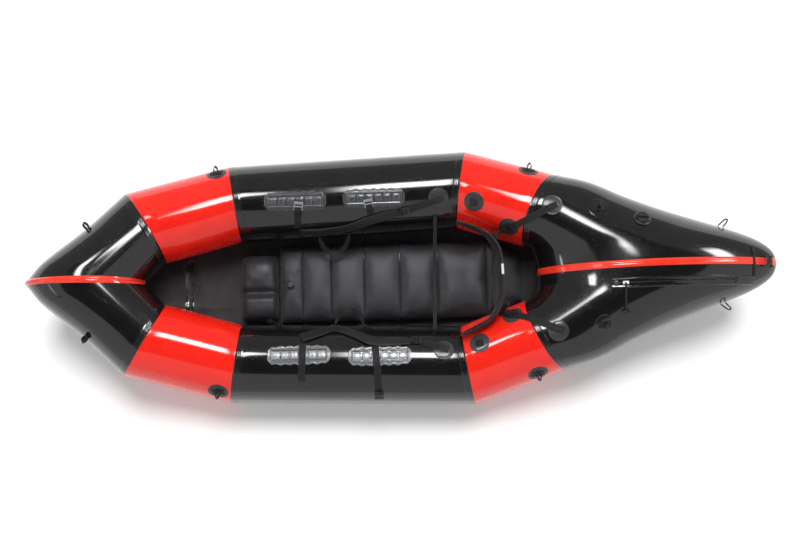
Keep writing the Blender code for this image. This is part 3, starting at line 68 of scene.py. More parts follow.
UP = Vector((0, 0, 1))
FORWARD = Vector((-1, 0, 0))
STARBOARD = Vector((0, 1, 0))
SIDES = (("starboard", 1), ("port", -1))
SEAM_SEED = 7.3
WEBBING_WIDTH = 0.025
WEBBING_THICK = 0.0016
WEBBING_FULLNESS = 8.0
SOFT_EDGE = 0.0006
SEWN_BOX = ((-1, -1), (1, -1), (1, 1), (-1, 1), (-1, -1), (1, 1), (1, -1), (-1, 1))


class Body(Enum):
    """The frame's bodies that a piece can ride on."""

    RAFT = "raft"
    BACKREST = "backrest"
    VALVE_CAP = "valve_cap"
    MAT_KNOB = "mat_knob"


class Slot(Enum):
    """The record's material slots."""

    BLACK = "black_coated_fabric"
    RED = "red_coated_fabric"
    FLOOR = "floor_fabric"
    MAT = "mat_fabric"
    PATCH = "patch_fabric"
    CLEAR = "clear_moulding"
    WEBBING = "webbing"
    PADDING = "padding"
    BLACK_PLASTIC = "black_plastic"
    PALE_PLASTIC = "pale_plastic"
    METAL = "bright_metal"


def mixed(start: Value, end: Value, share: float) -> Value:
    """The value this share of the way from the start to the end."""
    return start + (end - start) * share


def eased(share: float) -> float:
    """A share held between 0 and 1 and eased at both ends."""
    share = min(max(share, 0.0), 1.0)
    return share * share * (3 - 2 * share)


def mirrored(point: Vector) -> Vector:
    """The same place on the other side."""
    return Vector((point.x, -point.y, point.z))


def carried(vector: Vector, start: Vector, end: Vector) -> Vector:
    """The vector turned by the least turn that takes one direction into the other."""
    return start.rotation_difference(end) @ vector


def turns(count: int) -> list[float]:
    """The angles of this many points spread evenly round a circle."""
    return [math.tau * k / count for k in range(count)]


def each(size: Size, count: int) -> list[float]:
    """A size at each of this many steps, from one value or from a value for each."""
    return [size] * count if isinstance(size, float) else list(size)


def symmetric(half: Sequence[Pair]) -> list[Pair]:
    """A strip's whole profile from the half that starts at its middle."""
    return [(-share, height) for share, height in half[::-1] if share] + list(half)


def placed(name: str, data: bpy.types.ID) -> bpy.types.Object:
    """A new object with this data, linked into the scene.

    Args:
        name: The object's name.
        data: Its mesh, camera or lamp.

    Returns:
        The object.
    """
    obj = bpy.data.objects.new(name, data)
    bpy.context.scene.collection.objects.link(obj)
    return obj


def rounded(obj: bpy.types.Object, width: float) -> None:
    """Rounds an object's sharp edges."""
    edges = obj.modifiers.new("rounded_edges", "BEVEL")
    edges.width, edges.segments, edges.limit_method = width, 2, "ANGLE"


def thickened(obj: bpy.types.Object, thickness: float) -> None:
    """Gives a fabric its thickness, inwards from its face."""
    fabric = obj.modifiers.new("fabric", "SOLIDIFY")
    fabric.thickness, fabric.offset = thickness, -1


def curve_point(points: Sequence[Vector], share: float) -> Vector:
    """A point on the smooth curve through the points.

    Args:
        points: The places, whose first and last are phantom points that the curve doesn't reach.
        share: How far along the curve, from 0 to 1.

    Returns:
        The place there.
    """
    spans = len(points) - 3
    place = min(max(share, 0.0), 1.0) * spans
    span = min(int(place), spans - 1)
    t = place - span
    before, start, end, after = points[span : span + 4]
    return (
        start * 2
        + (end - before) * t
        + (before * 2 - start * 5 + end * 4 - after) * t**2
        + (start * 3 - before - end * 3 + after) * t**3
    ) / 2


def smooth_run(knots: Sequence[Vector], steps: int) -> list[Vector]:
    """Points on the smooth curve through the knots, ends included.

    Args:
        knots: The places that the curve goes through.
        steps: How many stretches to divide it into.

    Returns:
        The points, one more than the steps.
    """
    points = [knots[0] * 2 - knots[1], *knots, knots[-1] * 2 - knots[-2]]
    return [curve_point(points, i / steps) for i in range(steps + 1)]


def directions(places: Sequence[Vector], closed: bool = False) -> list[Vector]:
    """The way along a path at each of its points.

    Args:
        places: The path's points.
        closed: Whether the path runs back to its start.

    Returns:
        A unit vector for each point.
    """
    count = len(places)
    ways = []
    for i in range(count):
        if closed:
            before, after = places[i - 1], places[(i + 1) % count]
        else:
            before, after = places[max(i - 1, 0)], places[min(i + 1, count - 1)]
        ways.append((after - before).normalized())
    return ways


@dataclass
class Sheet:
    """A mesh in the making: points, faces, and where each point lies on the flat piece."""

    points: list[Vector] = field(default_factory=list)
    faces: list[tuple[int, ...]] = field(default_factory=list)
    lie: list[Mark] = field(default_factory=list)

    def rows(
        self, rows: Sequence[Sequence[Vector]], round_rows: bool = False, round_all: bool = False, capped: bool = False
    ) -> None:
        """Adds a grid of points.

        Args:
            rows: Rows of points, all of one length.
            round_rows: Whether each row runs back to its first point.
            round_all: Whether the last row joins the first.
            capped: Whether a face closes the first row and another one the last.
        """
        base, count = len(self.points), len(rows[0])
        self.points += [point for row in rows for point in row]
        for i in range(len(rows) if round_all else len(rows) - 1):
            here, there = base + i * count, base + (i + 1) % len(rows) * count
            for j in range(count if round_rows else count - 1):
                m = (j + 1) % count
                self.faces.append((here + j, here + m, there + m, there + j))
        if capped:
            for first in (base, len(self.points) - count):
                self.faces.append(tuple(range(first, first + count)))

    def pad(self, rows: Sequence[Sequence[Vector]]) -> None:
        """Adds a pad whose rows go over its top and back under it, and closes its two ends with small faces.

        Args:
            rows: Rows of points, each over the top from one side and back under it.
        """
        self.rows(rows, round_rows=True)
        count = len(rows[0])
        for base in (0, (len(rows) - 1) * count):
            for a in range(base, base + count // 2 - 1):
                b = base * 2 + count - 1 - a
                self.faces.append((a, a + 1, b - 1, b))

    def join(self, other: "Sheet") -> None:
        """Adds another sheet, with its lie where this one keeps any.

        Args:
            other: The sheet to add.
        """
        base = len(self.points)
        self.points += other.points
        self.faces += [tuple(base + index for index in face) for face in other.faces]
        if self.lie:
            self.lie += other.lie

    def mesh(self, name: str) -> bpy.types.Mesh:
        """The finished mesh, faces outwards, with the lie kept as an attribute.

        Args:
            name: The mesh's name.

        Returns:
            The mesh.
        """
        made = bpy.data.meshes.new(name)
        made.from_pydata(self.points, [], self.faces)
        bm = bmesh.new()
        bm.from_mesh(made)
        bmesh.ops.recalc_face_normals(bm, faces=bm.faces)
        bm.to_mesh(made)
        bm.free()
        if self.lie:
            kept = made.attributes.new("lie", "FLOAT_VECTOR", "POINT")
            kept.data.foreach_set("vector", [value for spot in self.lie for value in spot])
        return made


class Nodes:
    """A node tree, built a step at a time."""

    def __init__(self, tree: bpy.types.NodeTree) -> None:
        """Keeps the tree that the steps go into."""
        self.tree = tree

    def fill(self, node: bpy.types.Node, **inputs) -> bpy.types.Node:
        """Sets a node's sockets.

        Args:
            node: The node.
            inputs: Values or outputs, by the socket's name with _ for a space, or by n and its number.

        Returns:
            The node.
        """
        for key, value in inputs.items():
            numbered = key[0] == "n" and key[1:].isdigit()
            socket = node.inputs[int(key[1:]) if numbered else key.replace("_", " ")]
            if isinstance(value, Socket):
                self.tree.links.new(value, socket)
            else:
                socket.default_value = value
        return node

    def node(self, kind: str, settings: dict | None = None, **inputs) -> bpy.types.Node:
        """Adds a node.

        Args:
            kind: The node's type name.
            settings: The node's own properties.
            inputs: What goes into its sockets, as for fill.

        Returns:
            The node.
        """
        made = self.tree.nodes.new(kind)
        for key, value in (settings or {}).items():
            setattr(made, key, value)
        return self.fill(made, **inputs)

    def math(self, operation: str, first: Socket, second: Socket | float = 0.0) -> Socket:
        """One step of arithmetic on two values or sockets."""
        return self.node("ShaderNodeMath", {"operation": operation}, n0=first, n1=second).outputs[0]

    def split(self, vector: Socket) -> bpy.types.bpy_prop_collection:
        """The three parts of a vector."""
        return self.node("ShaderNodeSeparateXYZ", Vector=vector).outputs

    def ranged(
        self,
        value: Socket,
        low: Socket | float,
        high: float,
        start: float = 0.0,
        end: float = 1.0,
        curve: str = "LINEAR",
    ) -> Socket:
        """The value's stretch from start to end, mapped to low and high.

        Args:
            value: The socket to read.
            low: The result at the start.
            high: The result at the end.
            start: Where the stretch starts.
            end: Where it ends.
            curve: How the result changes between them.

        Returns:
            The mapped socket.
        """
        settings = {"interpolation_type": curve}
        return self.node("ShaderNodeMapRange", settings, n0=value, n1=start, n2=end, n3=low, n4=high).outputs[0]


class Recipe(Nodes):
    """A material, built round one Principled shader."""

    def __init__(self, name: str) -> None:
        """Starts a material with its shader and its place in metres.

        Args:
            name: The material's name.
        """
        self.material = bpy.data.materials.new(name)
        self.material.use_nodes = True
        super().__init__(self.material.node_tree)
        self.shader = self.tree.nodes["Principled BSDF"]
        self.place = self.node("ShaderNodeTexCoord").outputs["Object"]
        self.height = None

    def lie(self) -> Socket:
        """Where each point lies on the flat piece, in metres."""
        return self.node("ShaderNodeAttribute", {"attribute_name": "lie"}).outputs["Vector"]

    def clouds(self, scale: float, detail: float = 2.0, place: Socket | None = None) -> Socket:
        """Soft noise from 0 to 1, with this many blotches to the metre."""
        spot = place or self.place
        return self.node("ShaderNodeTexNoise", Vector=spot, Scale=scale, Detail=detail).outputs["Fac"]

    def waves(self, place: Socket, pitch: float, across: str) -> Socket:
        """Ridges this far apart, from 0 to 1, that follow each other along X, Y or DIAGONAL."""
        settings = {"wave_type": "BANDS", "bands_direction": across, "wave_profile": "SIN"}
        return self.node("ShaderNodeTexWave", settings, Vector=place, Scale=math.pi / (10 * pitch)).outputs["Fac"]

    def blend(self, share: Socket, first: Colour, second: Colour) -> Socket:
        """A colour between two, by the share."""
        made = self.node("ShaderNodeMix", {"data_type": "RGBA"}, n0=share, n6=(*first, 1), n7=(*second, 1))
        return made.outputs[2]

    def bump(self, height: Socket, depth: float, strength: float = 1.0) -> None:
        """Adds relief to the surface.

        Args:
            height: A socket from 0 to 1.
            depth: How deep the relief is, in metres.
            strength: How much of it shows.
        """
        made = self.node("ShaderNodeBump", Height=height, Distance=depth, Strength=strength)
        if self.height is not None:
            self.fill(made, Normal=self.height)
        self.height = made.outputs["Normal"]

    def finish(self, **inputs) -> bpy.types.Material:
        """Sets the shader's sockets as fill does, links the relief and gives the material.

        Args:
            inputs: What goes into the shader's sockets, as for fill.

        Returns:
            The material.
        """
        self.fill(self.shader, **inputs)
        if self.height is not None:
            self.fill(self.shader, Normal=self.height)
        return self.material


@dataclass(frozen=True)
class Finish:
    """What every finish has: its name, the slot it stands for, its colour and how rough it is."""

    name: str
    slot: Slot
    colour: Colour
    roughness: float

    def made(self) -> bpy.types.Material:
        """The finish's material, made once."""
        return bpy.data.materials.get(self.name) or self.cooked(Recipe(self.name))

    def cooked(self, recipe: Recipe) -> bpy.types.Material:
        """The material of this kind of finish."""
        raise NotImplementedError


@dataclass(frozen=True)
class CoatedFabric(Finish):
    """Nylon with a glossy welded coating: slow waves, fine crinkles and a trace of the weave."""

    faded: Colour = (0.02, 0.02, 0.02)
    wave_depth: float = 0.0008
    crinkle_depth: float = 0.00004
    weave_pitch: float = 0.0016
    coat: float = 1.0

    def cooked(self, recipe: Recipe) -> bpy.types.Material:
        """Waves under crinkles under the weave, below a clear coat.

        Args:
            recipe: The material in the making.

        Returns:
            The finished material.
        """
        recipe.bump(recipe.clouds(5.0, 1.0), self.wave_depth, 0.6)
        recipe.bump(recipe.clouds(34.0, 3.0), self.crinkle_depth, 0.5)
        weave = recipe.math(
            "MULTIPLY",
            recipe.waves(recipe.place, self.weave_pitch, "X"),
            recipe.waves(recipe.place, self.weave_pitch, "DIAGONAL"),
        )
        recipe.bump(weave, self.weave_pitch / 160, 0.25)
        mottle = recipe.clouds(14.0, 4.0)
        scuffs = recipe.clouds(90.0, 6.0)
        return recipe.finish(
            Base_Color=recipe.blend(recipe.ranged(mottle, 0.0, 1.0, 0.35, 0.75), self.colour, self.faded),
            Roughness=recipe.ranged(scuffs, self.roughness * 0.8, self.roughness * 1.35, 0.3, 0.75),
            Specular_IOR_Level=0.12,
            Coat_Weight=self.coat,
            Coat_Roughness=0.05,
            Coat_IOR=1.5,
        )


@dataclass(frozen=True)
class SatinFabric(Finish):
    """Uncoated or lightly coated cloth: a plain weave with soft creases and dusty sheen."""

    faded: Colour = (0.05, 0.05, 0.055)
    weave_pitch: float = 0.0011
    crease_depth: float = 0.0012
    sheen: float = 0.08

    def cooked(self, recipe: Recipe) -> bpy.types.Material:
        """Creases under a plain weave.

        Args:
            recipe: The material in the making.

        Returns:
            The finished material.
        """
        recipe.bump(recipe.clouds(28.0, 5.0), self.crease_depth, 0.5)
        weave = recipe.math(
            "ADD",
            recipe.waves(recipe.place, self.weave_pitch, "X"),
            recipe.waves(recipe.place, self.weave_pitch, "Y"),
        )
        recipe.bump(weave, self.weave_pitch / 10, 0.35)
        mottle = recipe.clouds(22.0, 5.0)
        return recipe.finish(
            Base_Color=recipe.blend(recipe.ranged(mottle, 0.0, 1.0, 0.3, 0.8), self.colour, self.faded),
            Roughness=recipe.ranged(mottle, self.roughness * 0.85, self.roughness * 1.2, 0.3, 0.7),
            Specular_IOR_Level=0.35,
            Sheen_Weight=self.sheen,
            Sheen_Roughness=0.4,
        )


@dataclass(frozen=True)
class Webbing(Finish):
    """Woven tape: ribs along it, a twill across it and slightly worn edges."""

    worn: Colour = (0.05, 0.05, 0.052)
    rib_pitch: float = 0.0018
    half_width: float = 0.0125

    def cooked(self, recipe: Recipe) -> bpy.types.Material:
        """Ribs and twill by where each point lies on the tape.

        Args:
            recipe: The material in the making.

        Returns:
            The finished material.
        """
        lie = recipe.lie()
        ribs = recipe.waves(lie, self.rib_pitch, "X")
        twill = recipe.waves(lie, self.rib_pitch * 1.5, "DIAGONAL")
        recipe.bump(twill, self.rib_pitch / 5, 0.6)
        recipe.bump(ribs, self.rib_pitch / 4, 0.6)
        across = recipe.split(lie)[0]
        edge = recipe.ranged(recipe.math("ABSOLUTE", across), 0.0, 0.6, self.half_width * 0.8, self.half_width)
        wear = recipe.math("MULTIPLY", edge, recipe.clouds(160.0, 4.0))
        fuzz = recipe.math("MULTIPLY", recipe.math("ADD", twill, wear), 0.5)
        return recipe.finish(
            Base_Color=recipe.blend(fuzz, self.colour, self.worn),
            Roughness=recipe.ranged(twill, self.roughness * 0.9, self.roughness * 1.15),
            Specular_IOR_Level=0.3,
            Sheen_Weight=0.08,
            Sheen_Roughness=0.35,
        )


@dataclass(frozen=True)
class Plastic(Finish):
    """Moulded plastic with a fine spark-eroded grain."""

    grain_depth: float = 0.00012
    coat: float = 0.0

    def cooked(self, recipe: Recipe) -> bpy.types.Material:
        """Grain under slight changes of gloss.

        Args:
            recipe: The material in the making.

        Returns:
            The finished material.
        """
        recipe.bump(recipe.clouds(900.0, 2.0), self.grain_depth, 0.4)
        recipe.bump(recipe.clouds(60.0, 2.0), self.grain_depth * 2, 0.3)
        smears = recipe.clouds(120.0, 5.0)
        lighter = tuple(min(c * 1.35 + 0.004, 1.0) for c in self.colour)
        return recipe.finish(
            Base_Color=recipe.blend(recipe.ranged(smears, 0.0, 1.0, 0.35, 0.7), self.colour, lighter),
            Roughness=recipe.ranged(smears, self.roughness * 0.8, self.roughness * 1.3, 0.3, 0.7),
            Coat_Weight=self.coat,
            Coat_Roughness=0.08,
        )


@dataclass(frozen=True)
class Metal(Finish):
    """Plated die-cast metal with fine scratches, kept mostly diffuse and near-white, which paints the shine that its
    reflection of a dark room would not give.
    """

    scratch_depth: float = 0.00005

    def cooked(self, recipe: Recipe) -> bpy.types.Material:
        """Scratches and dulled patches on metal whose near-white base paints its shine.

        Args:
            recipe: The material in the making.

        Returns:
            The finished material.
        """
        stretched = recipe.node("ShaderNodeMapping", Vector=recipe.place)
        stretched.inputs["Scale"].default_value = (1.0, 14.0, 14.0)
        scratches = recipe.clouds(180.0, 3.0, stretched.outputs[0])
        recipe.bump(scratches, self.scratch_depth, 0.6)
        dull = recipe.clouds(220.0, 3.0)
        darker = tuple(c * 0.7 for c in self.colour)
        return recipe.finish(
            Base_Color=recipe.blend(dull, self.colour, darker),
            Roughness=recipe.ranged(dull, self.roughness * 0.7, self.roughness * 1.6, 0.3, 0.7),
            # painted reflection: a low metallic share lets the near-white base show bright where the mirrored room is
            # dark
            Metallic=0.25,
        )


BLACK_COAT = CoatedFabric("black_coated", Slot.BLACK, (0.0055, 0.0053, 0.0052), 0.22, (0.0085, 0.0083, 0.008))
RED_COAT = CoatedFabric(
    "red_coated", Slot.RED, (0.86, 0.016, 0.008), 0.26, (0.90, 0.024, 0.012), crinkle_depth=0.00002, coat=0.85
)
RED_TAPE = CoatedFabric("red_tape", Slot.RED, (0.86, 0.030, 0.012), 0.24, (0.92, 0.06, 0.03))
SEAM_TAPE = CoatedFabric("seam_tape", Slot.BLACK, (0.0065, 0.0063, 0.0063), 0.24, (0.011, 0.011, 0.011))
FLOOR_CLOTH = CoatedFabric("floor_cloth", Slot.FLOOR, (0.028, 0.025, 0.027), 0.5, (0.042, 0.038, 0.040), coat=0.0)
MAT_CLOTH = SatinFabric("mat_cloth", Slot.MAT, (0.027, 0.028, 0.031), 0.46, (0.040, 0.041, 0.046), crease_depth=0.0006)
CUSHION_CLOTH = SatinFabric("cushion_cloth", Slot.MAT, (0.019, 0.019, 0.022), 0.36, (0.034, 0.034, 0.039))
PATCH_CLOTH = CoatedFabric("patch_cloth", Slot.PATCH, (0.034, 0.034, 0.036), 0.34, (0.052, 0.052, 0.055), coat=0.35)
SIDE_PATCH = CoatedFabric("side_patch", Slot.PATCH, (0.0075, 0.0073, 0.0073), 0.24, (0.012, 0.012, 0.012))
PADDING_CLOTH = SatinFabric("padding_cloth", Slot.PADDING, (0.007, 0.007, 0.0075), 0.55, (0.013, 0.013, 0.014))
STRAP_CLOTH = SatinFabric("strap_cloth", Slot.WEBBING, (0.007, 0.007, 0.0075), 0.55, (0.013, 0.013, 0.014))
BLACK_WEBBING = Webbing("black_webbing", Slot.WEBBING, (0.0055, 0.0055, 0.006), 0.6, (0.016, 0.016, 0.017))
BLACK_MOULDING = Plastic("black_moulding", Slot.BLACK_PLASTIC, (0.012, 0.012, 0.012), 0.34)
PALE_MOULDING = Plastic("pale_moulding", Slot.PALE_PLASTIC, (0.22, 0.23, 0.245), 0.3, coat=0.3)
WHITE_LABEL = SatinFabric("white_label", Slot.PADDING, (0.72, 0.72, 0.72), 0.5, (0.80, 0.80, 0.80), crease_depth=0.0002)
STITCHING = SatinFabric("stitching", Slot.WEBBING, (0.05, 0.05, 0.052), 0.6, (0.08, 0.08, 0.08), crease_depth=0.0001)
METAL_PAINTED_SHINE = Metal("plated_metal", Slot.METAL, (0.90, 0.90, 0.92), 0.38)


@dataclass
class Maker:
    """Turns meshes into pieces that ride on the frame, and reports them."""

    count: int = 0

    def piece(
        self,
        name: str,
        shape: Sheet | bpy.types.Mesh,
        finish: Finish,
        body: Body = Body.RAFT,
        replaces: Sequence[str] = (),
        sharp: float = 38.0,
        ride: bool = True,
    ) -> bpy.types.Object:
        """Puts a shape in the scene as a piece of the raft.

        Args:
            name: The piece's name.
            shape: Its shape, in the row frame.
            finish: Its finish.
            body: The body that it rides on.
            replaces: The plain nodes that it stands for.
            sharp: The angle in degrees past which an edge stays sharp.
            ride: Whether it rides on the body at once.

        Returns:
            The piece.
        """
        mesh = shape.mesh(name) if isinstance(shape, Sheet) else shape
        obj = placed(name, mesh)
        mesh.materials.clear()
        mesh.materials.append(finish.made())
        mesh.shade_smooth()
        mesh.set_sharp_from_angle(angle=math.radians(sharp))
        if replaces:
            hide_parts(*replaces)
        if ride:
            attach(obj, body.value)
        self.count += 1
        LOG.info("%s: %d faces", name, len(mesh.polygons))
        return obj

    def kept(self, node: str, finish: Finish, edge: float = SOFT_EDGE) -> None:
        """Gives a plain node its finish, and rounds its edges.

        Args:
            node: The node's name.
            finish: Its finish.
            edge: The width of its rounded edges.
        """
        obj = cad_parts[node]
        obj.data.materials.clear()
        obj.data.materials.append(finish.made())
        rounded(obj, edge)
        self.count += 1


MAKER = Maker()


@dataclass(frozen=True)
class Cut:
    """A plane across the tube, with the two vectors that carry a turn round the tube into it."""

    centre: Vector
    normal: Vector
    along: Vector
    out: Vector
    up: Vector

    def spoke(self, angle: float, radius: float) -> Vector:
        """The way from the axis to the tube's skin in this plane, at an angle from the outer side up."""
        way = self.out * math.cos(angle) + self.up * math.sin(angle)
        return (way - self.along * (way.dot(self.normal) / self.along.dot(self.normal))) * radius


@dataclass
class HullForm:
    """The hull's shape: five seams on the starboard tube, and the stern's long taper."""

    radius: float = 0.141
    axis_height: float = 0.1427
    shift: float = -0.009297
    mid: tuple[float, float] = (-0.600, 0.235)
    bow_seam: tuple[float, float, float] = (-0.915, 0.200, 0.062)
    bow_mitre: tuple[float, float] = (-1.105, 0.125)
    out: tuple[float, float] = (0.291, 0.321)
    stern_seam: tuple[float, float, float] = (0.5125, 0.2235, 0.057)
    seam_swing: float = 26.8
    seam_rake: float = 20.0
    taper_length: float = 0.745
    tip_lift: float = 0.150
    rim_set_back: float = 0.043
    rim_lift: float = 0.043
    half_height: float = 0.1625
    camber: float = 0.030
    taper_share: float = 0.25
    outline: tuple[Pair, ...] = (
        (0.0, 1.0), (0.168, 0.9), (0.333, 0.729), (0.5, 0.579), (0.663, 0.453),
        (0.832, 0.322), (0.93, 0.22), (0.985, 0.115), (1.0, 0.0),
    )

    def __post_init__(self) -> None:
        """Places the seams and the planes between the panels."""
        z = self.axis_height
        self.seams = [
            Vector((self.bow_mitre[0], 0, z + self.bow_mitre[1])),
            Vector((self.bow_seam[0], self.bow_seam[1], z + self.bow_seam[2])),
            Vector((self.mid[0], self.out[0], z)),
            Vector((self.mid[1], self.out[1], z)),
            Vector((self.stern_seam[0], self.stern_seam[1], z + self.stern_seam[2])),
        ]
        runs = [(b - a).normalized() for a, b in zip(self.seams, self.seams[1:])]
        swing, rake = math.radians(self.seam_swing), math.radians(self.seam_rake)
        stern = Vector((math.cos(swing) * math.cos(rake), -math.sin(swing) * math.cos(rake), math.sin(rake)))
        normals = [STARBOARD] + [(a + b).normalized() for a, b in zip(runs, runs[1:])] + [stern]
        side = UP.cross(runs[2]).normalized()
        sides = {2: side, 1: carried(side, runs[2], runs[1]), 3: carried(side, runs[2], runs[3])}
        sides[0] = carried(sides[1], runs[1], runs[0])
        self.cuts = []
        for i, along in enumerate(runs):
            up = along.cross(sides[i])
            ends = [Cut(self.seams[k], normals[k], along, sides[i], up) for k in (i, i + 1)]
            self.cuts.append(ends)

    def tube_point(self, panel: int, share: float, angle: float, radius: float) -> Vector:
        """A point on a straight panel's skin, this share of the way along it at this angle from its outer side."""
        start, end = self.cuts[panel]
        return mixed(start.centre + start.spoke(angle, radius), end.centre + end.spoke(angle, radius), share)

    def stern_ring(self, share: float, sides: int) -> list[Vector]:
        """One section of the stern, from the starboard seam (share 0) to the raft's middle (share 1).

        Args:
            share: How far round from the seam.
            sides: How many points the section has.

        Returns:
            The section's points, which start at its outer edge and go over its top.
        """
        seam = self.cuts[3][1]
        spoke = seam.spoke(0.0, self.radius)
        rim_start, out_start = seam.centre - spoke, seam.centre + spoke
        turn, ease = share * math.pi / 2, eased(share)
        rim = Vector((
            mixed(rim_start.x, seam.centre.x - spoke.x + self.rim_set_back, math.sin(turn)),
            rim_start.y * math.cos(turn),
            mixed(rim_start.z, self.axis_height + self.rim_lift, ease),
        ))
        outline = [Vector((x, y, 0)) for x, y in self.outline]
        ends = (outline[0] * 2 - outline[1], Vector((outline[-2].x, -outline[-2].y, 0)))
        place = curve_point([ends[0], *outline, ends[1]], share)
        out = Vector((
            mixed(out_start.x, out_start.x + self.taper_length, place.x),
            out_start.y * place.y,
            mixed(out_start.z, self.axis_height + self.tip_lift, place.x),
        ))
        half, centre = (out - rim) / 2, (out + rim) / 2
        height = mixed(seam.spoke(math.pi / 2, self.radius), UP * self.half_height, ease)
        points = []
        for turn in turns(sides):
            along = (1 + math.cos(turn)) / 2
            fall = (1 - along) ** (self.taper_share * ease) if along < 1 else 0.0
            lift = self.camber * ease * 4 * along * (1 - along)
            points.append(centre + half * math.cos(turn) + height * (math.sin(turn) * fall) + UP * lift)
        return points


@dataclass
class Panel:
    """One panel of the hull, as rings of points."""

    name: str
    finish: Finish
    rings: list[list[Vector]]

    def on_port(self) -> list[list[Vector]]:
        """The rings on the other side."""
        return [[mirrored(point) for point in ring] for ring in self.rings]


@dataclass
class Hull:
    """The ring of tube panels, drawn fine enough to show how the seams pull the fabric in."""

    form: HullForm = field(default_factory=HullForm)
    sides: int = 112
    steps: int = 30
    stern_steps: int = 64
    pinch: float = 0.0022
    pinch_reach: float = 0.020
    ripple: float = 0.0011
    ripple_reach: float = 0.085
    ripples_round: float = 21.0
    slack: float = 0.0007
    thickness: float = 0.0011
    inner_ripple: float = 0.35
    bow_bulge: Mark = (0.0115, 0.09, 0.22)
    bow_reach: Pair = (0.0095, 0.16)

    def __post_init__(self) -> None:
        """Draws every panel, and the tree that pieces are laid on."""
        drawn_in = {name: getattr(self, name) for name in ("pinch", "ripple", "slack")}
        self.pinch = self.ripple = self.slack = 0.0
        self.panels = self.drawn()
        self.guide = self.grown_tree()
        for name, value in drawn_in.items():
            setattr(self, name, value)
        self.panels = self.drawn()
        self.tree = self.grown_tree()

    def pulled(self, point: Vector, out: Vector, gap: float, seed: float, angle: float) -> Vector:
        """A point drawn in where a seam is near, with the ripples that run off it.

        Args:
            point: The point on the plain skin.
            out: The way out there.
            gap: How far it lies from the nearest seam.
            seed: A number of the seam's own.
            angle: Its angle round the tube.

        Returns:
            The point on the drawn skin.
        """
        inner = mixed(self.inner_ripple, 1.0, eased((1 - math.cos(angle)) / 2))
        draw = self.pinch * math.exp(-((gap / self.pinch_reach) ** 2))
        wobble = noise.noise(Vector((angle * self.ripples_round / math.pi, gap * 9, seed))) * 0.5 + 0.5
        fold = self.ripple * inner * wobble * math.exp(-gap / self.ripple_reach)
        slack = self.slack * (noise.noise(point * 7 + Vector((seed, 0, 0))) * 0.5 + 0.5)
        return point - out * (draw * 0.5 + fold + slack)

    def straight(self, panel: int, name: str, finish: Finish) -> Panel:
        """A straight panel's rings.

        Args:
            panel: Which of the tube's runs it is.
            name: Its name.
            finish: Its finish.

        Returns:
            The starboard panel.
        """
        start = self.form.cuts[panel][0]
        rings = []
        for i in range(self.steps + 1):
            share = (1 - math.cos(math.pi * i / self.steps)) / 2
            ring = []
            for angle in turns(self.sides):
                spots = [self.form.tube_point(panel, part, angle, self.form.radius) for part in (share, 0, 1)]
                place, run = spots[0], (spots[2] - spots[1]).length
                out = start.out * math.cos(angle) + start.up * math.sin(angle)
                near, far = share * run, (1 - share) * run
                gap, seam = (far, 1) if panel == 0 and near < far else min((near, panel), (far, panel + 1))
                if panel == 0:
                    place = self.blunted(place, out, near, angle)
                ring.append(self.pulled(place, out, gap, seam * SEAM_SEED, angle))
            rings.append(ring)
        return Panel(name, finish, rings)

    def blunted(self, place: Vector, out: Vector, gap: float, angle: float) -> Vector:
        """A point of the bow, a little fuller beside the tip and a little farther forward at it.

        Args:
            place: The point on the plain skin.
            out: The way out there.
            gap: How far it lies from the tip's seam.
            angle: Its angle round the tube, from its outer side.

        Returns:
            The point moved.
        """
        outer = max(math.cos(angle), 0.0) ** 0.7
        depth, full, end = self.bow_bulge
        bell = eased(gap / full) * eased((end + full - gap) / end)
        forward, reach = self.bow_reach
        ahead = forward * outer * math.exp(-((gap / reach) ** 2))
        return place + out * (depth * bell * outer) + FORWARD * ahead

    def stern(self) -> Panel:
        """The stern panel's rings, from the starboard seam round to the middle.

        Returns:
            The panel's starboard half.
        """
        steps = self.stern_steps
        plain = [self.form.stern_ring((i / steps) ** 1.15, self.sides) for i in range(steps + 1)]
        rings = []
        for ring in plain:
            middle = sum(ring, Vector()) / self.sides
            row = []
            for place, first, way, angle in zip(ring, plain[0], directions(ring, closed=True), turns(self.sides)):
                gap = (place - first).length
                out = place - middle
                out = (out - way * out.dot(way)).normalized()
                if gap > 1e-5:
                    row.append(self.pulled(place, out, gap, 4 * SEAM_SEED, angle))
                else:
                    row.append(place - out * (self.pinch * 0.5 + self.ripple * 0.5))
            rings.append(row)
        return Panel("stern_panel", BLACK_COAT, rings)

    def drawn(self) -> list[Panel]:
        """All panels, the bow's and the stern's whole and the others on both sides.

        Returns:
            The panels.
        """
        bow = self.straight(0, "bow_panel", BLACK_COAT)
        bow.rings = bow.rings[::-1]
        stern = self.stern()
        for middle in (bow, stern):
            middle.rings += middle.on_port()[-2::-1]
        panels = [bow, stern]
        runs = ((1, "bow_quarter", RED_COAT), (2, "mid_panel", BLACK_COAT), (3, "stern_quarter", RED_COAT))
        for run, name, finish in runs:
            starboard = self.straight(run, f"{name}_starboard", finish)
            panels += [starboard, Panel(f"{name}_port", finish, starboard.on_port())]
        for panel in panels:
            for ring in panel.rings:
                for point in ring:
                    point.x += self.form.shift
        return panels

    def grown_tree(self) -> BVHTree:
        """The skin of every panel as one tree of faces turned outwards.

        Returns:
            The tree.
        """
        points, faces = [], []
        for panel in self.panels:
            rings = panel.rings
            middle = sum(rings[0], Vector()) / self.sides
            turned = (rings[0][1] - rings[0][0]).cross(rings[1][0] - rings[0][0]).dot(rings[0][0] - middle) > 0
            base = len(points)
            for i in range(len(rings) - 1):
                for k in range(self.sides):
                    m = (k + 1) % self.sides
                    a, b = base + i * self.sides, base + (i + 1) * self.sides
                    face = (a + k, a + m, b + m, b + k)
                    faces.append(face if turned else face[::-1])
            points += [p for ring in rings for p in ring]
        return BVHTree.FromPolygons(points, faces)

    def near(self, point: Vector) -> Station:
        """The nearest place on the skin and the way out of it."""
        place, normal, _, _ = self.tree.find_nearest(point)
        return place, normal

